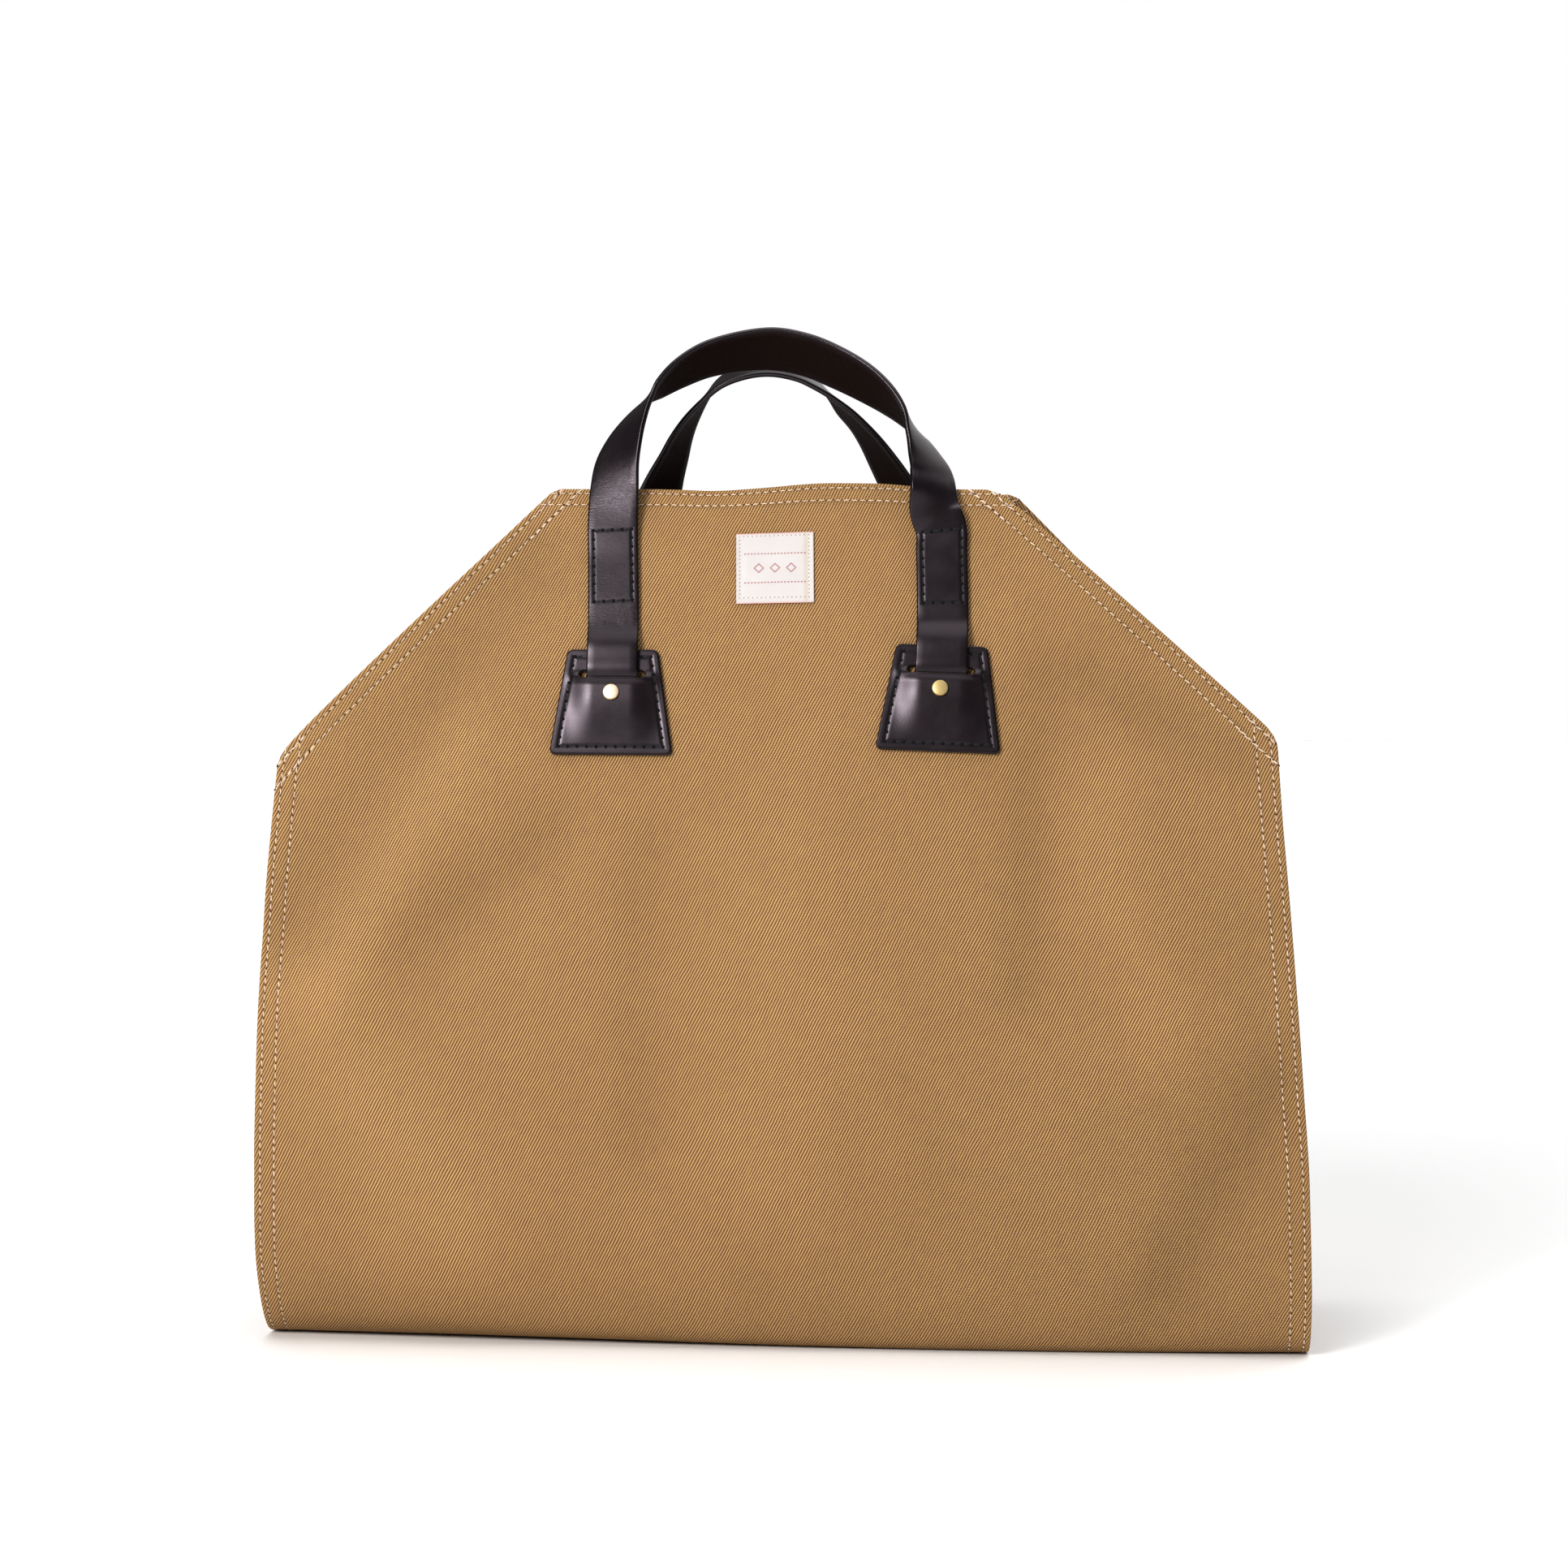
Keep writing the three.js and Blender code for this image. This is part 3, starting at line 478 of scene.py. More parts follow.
def add_node(
    tree: bpy.types.NodeTree,
    kind: str,
    settings: Settings = None,
    inputs: Inputs = None,
) -> bpy.types.Node:
    """Makes one node.

    Args:
        tree: The tree that it is for.
        kind: The node's type.
        settings: Its own properties, set first.
        inputs: Values, wires or other nodes' sockets for its sockets, by number or name.

    Returns:
        The node.
    """
    made = tree.nodes.new(kind)
    for key, value in (settings or {}).items():
        setattr(made, key, value)
    for key, value in (inputs or {}).items():
        source = value.socket if isinstance(value, Wire) else value
        if isinstance(source, bpy.types.NodeSocket):
            tree.links.new(source, made.inputs[key])
        elif isinstance(value, tuple) and len(value) == 3 and made.inputs[key].type == "RGBA":
            made.inputs[key].default_value = (*value, 1.0)
        else:
            made.inputs[key].default_value = value
    return made


class Bench:
    """Builds the nodes of one material."""

    def __init__(self, name: str) -> None:
        """Starts an empty material."""
        self.material = bpy.data.materials.new(name)
        self.material.use_nodes = True
        self.tree = self.material.node_tree
        self.tree.nodes.clear()
        self.output = self.tree.nodes.new("ShaderNodeOutputMaterial")

    def wire(
        self,
        kind: str,
        settings: Settings = None,
        inputs: Inputs = None,
        output: Union[int, str] = 0,
    ) -> Wire:
        """One output of a new node."""
        return Wire(self, add_node(self.tree, kind, settings, inputs).outputs[output])

    def surface(self) -> tuple[Wire, Wire, Wire]:
        """The piece's own map, in metres: the vector and its two numbers."""
        mapped = self.wire("ShaderNodeUVMap", {"uv_map": "surface"})
        split = add_node(self.tree, "ShaderNodeSeparateXYZ", None, {0: mapped})
        return mapped, Wire(self, split.outputs[0]), Wire(self, split.outputs[1])

    def place(self) -> Wire:
        """Object coordinates."""
        return self.wire("ShaderNodeTexCoord", output="Object")

    def mark(self, name: str) -> Wire:
        """A number that the mesh carries."""
        return self.wire("ShaderNodeAttribute", {"attribute_name": name}, output="Fac")

    def vector(self, x: Number, y: Number, z: Number = 0.0) -> Wire:
        """A vector from three numbers."""
        return self.wire("ShaderNodeCombineXYZ", None, {0: x, 1: y, 2: z})

    def scaled(self, vector: Wire, factors: tuple[float, float, float]) -> Wire:
        """A vector times three numbers."""
        return self.wire("ShaderNodeVectorMath", {"operation": "MULTIPLY"}, {0: vector, 1: factors})

    def noise(self, vector: Wire, scale: float, detail: float = 2.0, roughness: float = 0.5) -> Wire:
        """Soft noise around 0.5."""
        inputs = {"Vector": vector, "Scale": scale, "Detail": detail, "Roughness": roughness}
        return self.wire("ShaderNodeTexNoise", None, inputs)

    def cells(self, vector: Wire, scale: float) -> Wire:
        """Distance to the nearest of many scattered points."""
        inputs = {"Vector": vector, "Scale": scale}
        return self.wire("ShaderNodeTexVoronoi", {"feature": "F1"}, inputs, "Distance")

    def blend(self, factor: Number, first: Union[Colour, Wire], second: Union[Colour, Wire]) -> Wire:
        """Colour from first to second."""
        return self.wire("ShaderNodeMix", {"data_type": "RGBA"}, {0: factor, 6: first, 7: second}, 2)

    def tinted(self, colour: Wire, amount: Number) -> Wire:
        """A colour made lighter or darker by a number."""
        return self.wire("ShaderNodeVectorMath", {"operation": "SCALE"}, {0: colour, "Scale": amount})

    def bump(self, height: Wire, distance: float, strength: float = 1.0) -> Wire:
        """Normal from a height between 0 and 1 that stands for distance metres."""
        inputs = {"Strength": strength, "Distance": distance, "Height": height}
        return self.wire("ShaderNodeBump", None, inputs)

    def shader(self, inputs: Inputs) -> Wire:
        """One principled shader."""
        return self.wire("ShaderNodeBsdfPrincipled", None, inputs)

    def finish(self, inputs: Inputs) -> bpy.types.Material:
        """Ends the material in one principled shader."""
        return self.close(self.shader(inputs))

    def close(self, shader: Wire) -> bpy.types.Material:
        """Ends the material in a shader made before."""
        self.tree.links.new(shader.socket, self.output.inputs["Surface"])
        return self.material


# Finishes


@dataclass(frozen=True)
class TwillFinish:
    """Heavy waxed twill: steep light ribs with dark furrows, laid on the cloth's own map, with painted shade
    along the hem's stitch rows and painted light and shade over the soft folds.
    """

    rib: Colour = (0.62, 0.40, 0.215)
    gold: Colour = (0.60, 0.40, 0.19)
    furrow: Colour = (0.12, 0.050, 0.010)
    shade: Colour = (0.30, 0.165, 0.066)
    rib_angle: float = 63.0
    rib_pitch: float = 1.54
    yarn_pitch: float = 1.05
    roughness: float = 0.82

    def material(self) -> bpy.types.Material:
        """Builds the twill."""
        b = Bench("waxed twill")
        uv, u, v = b.surface()
        x, s = u * MILLIMETRES, v * MILLIMETRES
        lean = math.radians(self.rib_angle)
        drift = b.noise(uv, 26.0, 1.0) * 1.3 + b.noise(uv, 150.0, 1.0) * 0.35
        rank = (x * math.sin(lean) + s * math.cos(lean)) / self.rib_pitch + drift
        along = (x * math.cos(lean) - s * math.sin(lean)) / self.yarn_pitch
        knuckle = (along + rank.floor() * 0.37).wave()
        rib = (rank.wave() + (knuckle - 0.5) * 0.5).ramp(0.0, 0.9)
        yarn = rib * (0.72 + knuckle * 0.28)
        ply = b.noise(b.vector(rank * 0.9, along * 0.13), 1.0, 1.0)
        fibre = b.noise(uv, 2600.0, 2.0, 0.6)
        slub = b.noise(b.vector(u * 90.0, v * 1900.0), 1.0, 1.0).ramp(0.56, 0.76)
        patchy = b.noise(uv, 9.0, 4.0, 0.6)
        waxy = b.noise(uv, 38.0, 3.0, 0.6)
        edge = b.mark("edge")
        worn = edge.bell(0.0, 1.1)
        # Painted light and shade: the fold mark lightens the cloth on fold ridges and darkens it in fold
        # valleys.
        fold = b.mark("fold")
        # Painted shade along both hem stitch rows, where the cloth dips.
        sewn = edge.bell(3.6, 1.1).most(edge.bell(11.6, 1.2))
        colour = b.blend(yarn, self.furrow, b.blend(ply.ramp(0.35, 0.65), self.rib, self.gold))
        colour = b.blend((1.0 - patchy).ramp(0.36, 0.78) * 0.16, colour, self.shade)
        tone = 0.86 + patchy * 0.12 + waxy * 0.12 + (fibre - 0.5) * 0.4 + (ply - 0.5) * 0.3
        # Tone with painted shade along the stitch rows, a lighter worn edge, darker slubs, and painted light
        # and shade over the folds.
        tone = tone - sewn * 0.13 + worn * 0.1 - slub * 0.08 + fold * 0.1
        height = yarn * 0.7 + knuckle * 0.1 + fibre * 0.12 + waxy * 0.35
        return b.finish(
            {
                "Base Color": b.tinted(colour, tone),
                "Roughness": self.roughness + (waxy - 0.5) * 0.2,
                "Specular IOR Level": 0.12,
                "Normal": b.bump(height, 0.0004, 0.7),
            }
        )


@dataclass(frozen=True)
class LeatherFinish:
    """Dark bridle leather: smooth grain side, brown flesh side and burnished black edges, with painted shade
    in the creases and along the stitch groove.
    """

    grain: Colour = (0.0085, 0.0052, 0.0068)
    flesh: Colour = (0.0075, 0.0032, 0.0024)
    edge: Colour = (0.003, 0.0026, 0.003)
    sheen: Colour = (1.0, 0.86, 0.95)
    grain_roughness: float = 0.32
    flesh_roughness: float = 0.8

    def material(self, groove: Callable[[Bench], Wire], name: str) -> bpy.types.Material:
        """Builds the leather.

        Args:
            groove: Makes a mask, from 0 to 1, of the line that the stitches press into the leather; it dents
                the bump and paints shade into the tone.
            name: The material's name.

        Returns:
            The material.
        """
        b = Bench(name)
        uv, u, v = b.surface()
        side, rim, flex = b.mark("grain"), b.mark("rim"), b.mark("flex")
        pores = b.cells(uv, 1500.0)
        mottle = b.noise(uv, 60.0, 4.0, 0.6)
        fine = b.noise(uv, 900.0, 2.0, 0.6)
        wrinkle = b.noise(b.vector(u * 780.0 + b.noise(uv, 120.0) * 3.0, v * 110.0), 1.0, 3.0, 0.6)
        crease_and_shade = (1.0 - abs(wrinkle - 0.5) * 7.0).most(0.0) * flex
        # The stitch groove: a dent in the bump, and painted shade in the tone.
        groove_dent_and_shade = groove(b)
        flesh = b.blend(fine.ramp(0.3, 0.8), self.flesh, tuple(c * 1.9 for c in self.flesh))
        dark, light = (tuple(c * amount for c in self.grain) for amount in (0.8, 1.25))
        grain = b.blend(mottle.ramp(0.3, 0.8), dark, light)
        grain = b.blend(rim, grain, self.edge)
        # Painted shade: the tone darkens in the creases and darkens much more along the stitch groove.
        tone = 1.0 - crease_and_shade * 0.25 - groove_dent_and_shade * 0.8
        rough = self.grain_roughness - rim * 0.05 + (mottle - 0.5) * 0.18 + crease_and_shade * 0.12
        skin = pores * 0.03 * side + fine * 0.03 + (1.0 - side) * fine * 0.3
        normal = b.bump(0.62 + skin - crease_and_shade * 0.13 - groove_dent_and_shade * 0.5, 0.0006, 0.8)
        smooth_side = {"Base Color": b.tinted(grain, tone), "Roughness": rough, "Normal": normal}
        nap = {"Base Color": flesh, "Roughness": self.flesh_roughness, "Normal": normal}
        polished = b.shader({**smooth_side, "Specular IOR Level": 0.55, "Specular Tint": self.sheen})
        raw = b.shader({**nap, "Specular IOR Level": 0.08})
        return b.close(b.wire("ShaderNodeMixShader", None, {0: side.most(rim), 1: raw, 2: polished}))


@dataclass(frozen=True)
class BrassFinish:
    """Rivet metal with a soft tumbled shine."""

    name: str
    face: Colour
    tarnish: Colour
    roughness: float = 0.3
    metallic: float = 1.0

    def material(self) -> bpy.types.Material:
        """Builds the metal."""
        b = Bench(self.name)
        place = b.place()
        cloud = b.noise(place, 320.0, 4.0, 0.6)
        scratch = b.noise(b.scaled(place, (9000.0, 700.0, 1800.0)), 1.0, 2.0)
        rim = b.mark("rim")
        colour = b.blend((cloud.ramp(0.45, 0.8) * 0.5).most(rim * 0.75), self.face, self.tarnish)
        return b.finish(
            {
                "Base Color": colour,
                "Metallic": self.metallic,
                "Roughness": self.roughness + (cloud - 0.5) * 0.25 + rim * 0.15,
                "Normal": b.bump(scratch * 0.6 + cloud * 0.4, 0.00006, 0.5),
            }
        )


@dataclass(frozen=True)
class ThreadFinish:
    """Twisted sewing thread."""

    name: str
    light: Colour
    dark: Colour
    roughness: float = 0.7

    def material(self) -> bpy.types.Material:
        """Builds the thread."""
        b = Bench(self.name)
        place = b.place()
        strand = b.noise(place, 2600.0, 2.0, 0.6)
        length = b.noise(place, 45.0, 2.0)
        fluff = (strand * 0.7 + length * 0.5 - 0.1).ramp(0.25, 0.8)
        return b.finish(
            {
                "Base Color": b.blend(fluff, self.dark, self.light),
                "Roughness": self.roughness + (strand - 0.5) * 0.2,
                "Specular IOR Level": 0.35,
                "Normal": b.bump(strand, 0.00015, 0.6),
            }
        )


@dataclass(frozen=True)
class LabelFinish:
    """Cream woven label with a faint red selvage, two broken red lines, a row of diamonds and a painted fold
    shadow inside the right stitches.
    """

    cloth: Colour = (0.635, 0.60, 0.585)
    selvage: Colour = (0.70, 0.28, 0.24)
    line: Colour = (0.34, 0.035, 0.05)
    # Darker cream painted as the shadow of a fold inside the right row of stitches.
    margin: Colour = (0.58, 0.50, 0.42)
    diamond: float = 2.7
    diamond_pitch: float = 9.5
    rule: float = 9.0
    width: float = 45.5
    height: float = 44.0

    def material(self) -> bpy.types.Material:
        """Builds the label cloth."""
        b = Bench("woven label")
        uv, u, v = b.surface()
        a, d = u * MILLIMETRES, v * MILLIMETRES
        warp, weft = (a / 0.36).wave(), (d / 0.42).wave()
        weave = warp * 0.5 + weft * 0.5
        cloud = b.noise(uv, 60.0, 3.0)
        fuzz = b.noise(uv, 1700.0, 2.0)
        half_w, half_h = self.width / 2, self.height / 2
        band = (abs(d) - (half_h - 0.6)).ramp(-0.5, 0.3) * (0.3 + cloud * 0.5)
        row = (abs(d) - self.rule).bell(0.0, 0.36)
        dashes = row * (a / 1.95).wave().ramp(0.3, 0.5) * (half_w - 4.6 - abs(a)).ramp(-0.1, 0.1)
        across = abs((a / self.diamond_pitch + 0.5).fract() - 0.5) * self.diamond_pitch
        frame_line = (across + abs(d) - self.diamond).bell(0.0, 0.42)
        diamonds = frame_line * (1.5 * self.diamond_pitch - abs(a)).ramp(-0.1, 0.1)
        # Painted shade: a soft darker strip where a fold shades the label inside its right stitches.
        fold = (a - (half_w - 4.6)).bell(0.0, 1.3)
        colour = b.blend(band, self.cloth, self.selvage)
        colour = b.blend(fold * 0.7, colour, self.margin)
        colour = b.blend(dashes.most(diamonds) * 0.88, colour, self.line)
        tone = 0.93 + weave * 0.05 + (cloud - 0.5) * 0.1 + (fuzz - 0.5) * 0.08
        return b.finish(
            {
                "Base Color": b.tinted(colour, tone),
                "Roughness": 0.72 + (cloud - 0.5) * 0.15,
                "Specular IOR Level": 0.35,
                "Sheen Weight": 0.1,
                "Normal": b.bump(weave * 0.6 + fuzz * 0.3, 0.00015, 0.7),
            }
        )


# Stitches


@dataclass
class SeamPath:
    """One row of stitches: where it runs, and which way is out of the surface."""

    points: Array
    ups: Array


@dataclass
class StitchTree:
    """Geometry Nodes tree that lays arched stitches along the seams it is given."""

    name: str = "stitches along a seam"
    sunk: float = 0.55
    sway: float = 0.07
    least: tuple[float, float, float] = (0.9, 0.92, 0.85)
    most: tuple[float, float, float] = (1.06, 1.08, 1.15)
    hole_flat: float = 0.4

    def __post_init__(self) -> None:
        """Builds the tree."""
        self.tree = bpy.data.node_groups.new(self.name, "GeometryNodeTree")
        self.sockets: dict[str, str] = {}
        numbers = [(name, "Float") for name in ("Pitch", "Stitch", "Thread", "Rise", "Slant", "Hole")]
        materials = [("Thread Material", "Material"), ("Hole Material", "Material")]
        for name, kind in (("Seams", "Geometry"), *numbers, ("Seed", "Int"), *materials):
            self.sockets[name] = self._socket(name, "INPUT", kind)
        self._socket("Stitches", "OUTPUT", "Geometry")
        self.given = add_node(self.tree, "NodeGroupInput").outputs
        self._fill()

    def _socket(self, name: str, way: str, kind: str) -> str:
        """Adds one named input or output of the tree, and gives its identifier."""
        sockets = self.tree.interface
        return sockets.new_socket(name=name, in_out=way, socket_type=f"NodeSocket{kind}").identifier

    def _out(self, kind: str, settings: Settings = None, inputs: Inputs = None) -> bpy.types.NodeSocket:
        """First output of a new node."""
        return add_node(self.tree, kind, settings, inputs).outputs[0]

    def _times(self, first: object, second: float) -> bpy.types.NodeSocket:
        """A product."""
        return self._out("ShaderNodeMath", {"operation": "MULTIPLY"}, {0: first, 1: second})

    def _fill(self) -> None:
        """Adds the nodes: resampled seams, with a thread and a dark needle hole, painted as the hole's shade,
        at each of their points.
        """
        curve = self._out("GeometryNodeMeshToCurve", None, {0: self.given["Seams"]})
        inputs = {"Curve": curve, "Length": self.given["Pitch"]}
        laid = self._out("GeometryNodeResampleCurve", {"mode": "LENGTH"}, inputs)
        up = self._out("GeometryNodeInputNamedAttribute", {"data_type": "FLOAT_VECTOR"}, {0: "up"})
        axes = {"primary_axis": "Z", "secondary_axis": "X"}
        way = self._out("GeometryNodeInputTangent")
        turn = self._out("FunctionNodeAxesToRotation", axes, {0: up, 1: way})
        inputs = {"Seed": self.given["Seed"], 2: -self.sway, 3: self.sway}
        spin = add_node(self.tree, "FunctionNodeRandomValue", {"data_type": "FLOAT"}, inputs).outputs[1]
        lean = self._out("ShaderNodeMath", {"operation": "ADD"}, {0: spin, 1: self.given["Slant"]})
        tilt = self._out("FunctionNodeAxisAngleToRotation", None, {"Axis": (0.0, 0.0, 1.0), "Angle": lean})
        turned = self._out("FunctionNodeRotateRotation", {"rotation_space": "LOCAL"}, {0: turn, 1: tilt})
        inputs = {"Seed": self.given["Seed"], 0: self.least, 1: self.most}
        size = self._out("FunctionNodeRandomValue", {"data_type": "FLOAT_VECTOR"}, inputs)
        inputs = {"Points": laid, "Instance": self._thread(), "Rotation": turned, "Scale": size}
        threads = self._laid(inputs, "Thread Material")
        holes = self._laid({"Points": laid, "Instance": self._hole(), "Rotation": turn}, "Hole Material")
        both = add_node(self.tree, "GeometryNodeJoinGeometry")
        for made in (threads, holes):
            self.tree.links.new(made, both.inputs[0])
        add_node(self.tree, "NodeGroupOutput", None, {0: both.outputs[0]})

    def _thread(self) -> bpy.types.NodeSocket:
        """One arched stitch, along X about its middle."""
        half = self._times(self.given["Stitch"], 0.5)
        sink = self._times(self.given["Thread"], -self.sunk)
        places = ((self._times(half, -1.0), sink), (0.0, self.given["Rise"]), (half, sink))
        ends = {
            name: self._out("ShaderNodeCombineXYZ", None, {0: x, 2: z})
            for name, (x, z) in zip(("Start", "Middle", "End"), places)
        }
        arch = self._out("GeometryNodeCurveQuadraticBezier", None, {"Resolution": 4, **ends})
        inputs = {"Resolution": 6, "Radius": self._times(self.given["Thread"], 0.5)}
        ring = self._out("GeometryNodeCurvePrimitiveCircle", {"mode": "RADIUS"}, inputs)
        return self._out("GeometryNodeCurveToMesh", None, {0: arch, 1: ring, "Fill Caps": True})

    def _hole(self) -> bpy.types.NodeSocket:
        """One flat needle hole, half a pitch further along: a small flattened ball whose dark material is
        painted shade of the hole.
        """
        ball = self._out("GeometryNodeMeshUVSphere", None, {0: 8, 1: 4, 2: self.given["Hole"]})
        step = self._out("ShaderNodeCombineXYZ", None, {0: self._times(self.given["Pitch"], 0.5)})
        inputs = {"Geometry": ball, "Translation": step, "Scale": (1.0, 1.0, self.hole_flat)}
        return self._out("GeometryNodeTransform", None, inputs)

    def _laid(self, inputs: dict[str, bpy.types.NodeSocket], material: str) -> bpy.types.NodeSocket:
        """Instances on the points, made real and smooth, with one of the tree's materials."""
        instances = self._out("GeometryNodeInstanceOnPoints", None, inputs)
        real = self._out("GeometryNodeRealizeInstances", None, {0: instances})
        soft = self._out("GeometryNodeSetShadeSmooth", None, {0: real})
        inputs = {"Geometry": soft, "Material": self.given[material]}
        return self._out("GeometryNodeSetMaterial", None, inputs)

    def sew(
        self,
        name: str,
        seams: Sequence[SeamPath],
        materials: tuple[bpy.types.Material, bpy.types.Material],
        values: dict[str, float],
    ) -> bpy.types.Object:
        """Lays stitches along seams.

        Args:
            name: The piece's name.
            seams: The rows of stitches, in millimetres.
            materials: The thread's, and the needle holes' painted shade.
            values: The tree's inputs by name, with lengths in metres.

        Returns:
            The stitches as a plain mesh object.
        """
        points = np.vstack([seam.points for seam in seams]) * MILLIMETRE
        ups = np.vstack([seam.ups for seam in seams])
        edges, start = [], 0
        for seam in seams:
            edges += [(k, k + 1) for k in range(start, start + len(seam.points) - 1)]
            start += len(seam.points)
        mesh = bpy.data.meshes.new(name)
        mesh.from_pydata(points.tolist(), edges, [])
        mark = mesh.attributes.new("up", "FLOAT_VECTOR", "POINT")
        mark.data.foreach_set("vector", ups.astype(np.float32).ravel())
        guide = placed(name, mesh)
        modifier = guide.modifiers.new("stitches", "NODES")
        modifier.node_group = self.tree
        modifier[self.sockets["Thread Material"]], modifier[self.sockets["Hole Material"]] = materials
        for key, value in values.items():
            modifier[self.sockets[key]] = value
        graph = bpy.context.evaluated_depsgraph_get()
        sewn = bpy.data.meshes.new_from_object(guide.evaluated_get(graph), depsgraph=graph)
        bpy.data.objects.remove(guide)
        sewn.name = name
        return placed(name, sewn)


# The canvas sheet


@dataclass
class CanvasSheet:
    """One sheet of twill with a turned hem, from the front rim under the base to the back rim."""

    form: CanvasForm
    wall: float = 1.3
    hem_width: float = 13.0
    hem_fold: float = 1.2
    hem_step: float = 2.0
    edge_round: float = 0.9
    cell: float = 4.9
    stitch_dip: float = 0.24
    stitch_spread: float = 0.95
    roll_dip: float = 0.16
    roll_span: tuple[float, float, float] = (12.5, 16.0, 30.0)
    # Fold height at which the twill's painted light and shade over the folds is full.
    fold_shading_full: float = 3.9
    side_rows: tuple[float, float] = (3.7, 11.9)
    rim_rows: tuple[float, float] = (3.3, 10.5)
    lock_step: float = 0.45
    shoulder_lock: float = 17.0
    rim_locks: dict[Side, tuple[float, float]] = field(
        default_factory=lambda: {Side.LEFT: (20.0, 31.0), Side.RIGHT: (13.0, 15.0)}
    )
    hem_cells: tuple[float, ...] = (
        (0.9, 1.8, 2.7, 3.5, 4.3, 5.8, 8.4) + (9.8, 10.6, 11.3, 12.0, 12.9, 14.2, 16.0)
    )
    edge_profile: tuple[tuple[float, float], ...] = (
        (0.4, 0.12), (0.06, 0.33), (0.0, 0.5), (0.06, 0.67), (0.4, 0.88)
    )
    seam_end: float = 20.0
    lock_end: float = 17.7
    knee_reach: float = 14.0
    knee_calm: float = 2.0
    sewn_margin: float = 1.2
    line_spare: float = 60.0

    def _runs(self, inset: float) -> Array:
        """Rows of the mesh along the sheet, with the first and last ones at inset."""
        half = self.form.half_length
        shoulders = [row[0] * half for row in CUT[1:3]]
        even = steps_between([self.hem_cells[-1], *shoulders, half], self.cell)
        rows = [inset, *self.hem_cells[1:-1], *even]
        return np.array([*rows, *[2 * half - s for s in reversed(rows[:-1])]])

    def _slants(self, run: Array) -> tuple[Array, Array]:
        """Length of the side edges for each millimetre of run, left and right."""
        span = self.hem_width
        top = 2 * self.form.half_length
        low, high = np.maximum(run - span, 0), np.minimum(run + span, top)
        ends = [self.form.sheet_edges(low), self.form.sheet_edges(high)]
        return tuple(np.hypot(1, (ends[1][k] - ends[0][k]) / (high - low)) for k in (0, 1))

    def _columns(self, run: Array, inset: float) -> Array:
        """World x of the mesh's columns at each row, with the first and last ones at inset."""
        left, right = self.form.sheet_edges(run)
        slant_left, slant_right = self._slants(run)
        steps = np.array([inset, *self.hem_cells[1:]])
        lefts = left[:, None] + steps * slant_left[:, None]
        rights = right[:, None] - steps[::-1] * slant_right[:, None]
        cells = round(self.form.sheet_width / self.cell)
        share = np.linspace(0, 1, cells + 1)[1:-1]
        middle = lefts[:, -1:] + (rights[:, :1] - lefts[:, -1:]) * share
        return np.hstack([lefts, middle, rights])

    def _edge_distances(self, x: Array, run: Array) -> tuple[Array, Array]:
        """Distance in the cloth to the nearest rim, and to the nearest side edge."""
        left, right = self.form.sheet_edges(run)
        slant_left, slant_right = self._slants(run.ravel())
        slant_left, slant_right = slant_left.reshape(run.shape), slant_right.reshape(run.shape)
        sides = np.minimum((x - left) / slant_left, (right - x) / slant_right)
        return np.minimum(run, 2 * self.form.half_length - run), sides

    def relief(self, x: Array, run: Array) -> Array:
        """Height of the outer face over the plain form: dips along stitches and a soft roll."""
        rim, sides = self._edge_distances(x, run)
        height = np.zeros(np.shape(x))
        low, middle, high = self.roll_span
        for distance, rows in ((rim, self.rim_rows), (sides, self.side_rows)):
            for row in rows:
                height -= self.stitch_dip * hump(row, self.stitch_spread, distance)
            height -= self.roll_dip * smooth(low, middle, distance) * (1 - smooth(middle, high, distance))
        return height

    def depth(self, x: Array, run: Array) -> Array:
        """Depth of the inner face below the plain form: single cloth, and double along the hem."""
        rim, sides = self._edge_distances(x, run)
        nearest = np.minimum(rim, sides)
        fold = self.hem_fold * (1 - smooth(self.hem_width, self.hem_width + self.hem_step, nearest))
        dips = sum(hump(row, self.stitch_spread, sides) for row in self.side_rows)
        return self.wall + fold - self.stitch_dip * np.minimum(dips, 1)

    def flat_area(self) -> float:
        """Area of the cut sheet in square metres."""
        run = np.linspace(0, 2 * self.form.half_length, 2001)
        left, right = self.form.sheet_edges(run)
        width = right - left
        return float(np.sum((width[1:] + width[:-1]) / 2 * np.diff(run))) * MILLIMETRE**2

    def _net(self, inset: float) -> Array:
        """Flat places of the mesh's rows and columns, with the outermost ones at inset."""
        run = self._runs(inset)
        x = self._columns(run, inset)
        return np.stack([x, np.repeat(run[:, None], x.shape[1], axis=1)], axis=-1)

    def _marks(self, flat: Array) -> dict[str, Array]:
        """How far each place is from the nearest edge, and how high it lies on a fold, which the twill paints
        as light on ridges and shade in valleys.
        """
        rim, sides = self._edge_distances(flat[:, 0], flat[:, 1])
        back = flat[:, 1] > self.form.half_length
        x = np.where(back, -flat[:, 0], flat[:, 0])
        s = np.where(back, 2 * self.form.half_length - flat[:, 1], flat[:, 1])
        return {"edge": np.minimum(rim, sides), "fold": self.form.fold_height(x, s) / self.fold_shading_full}

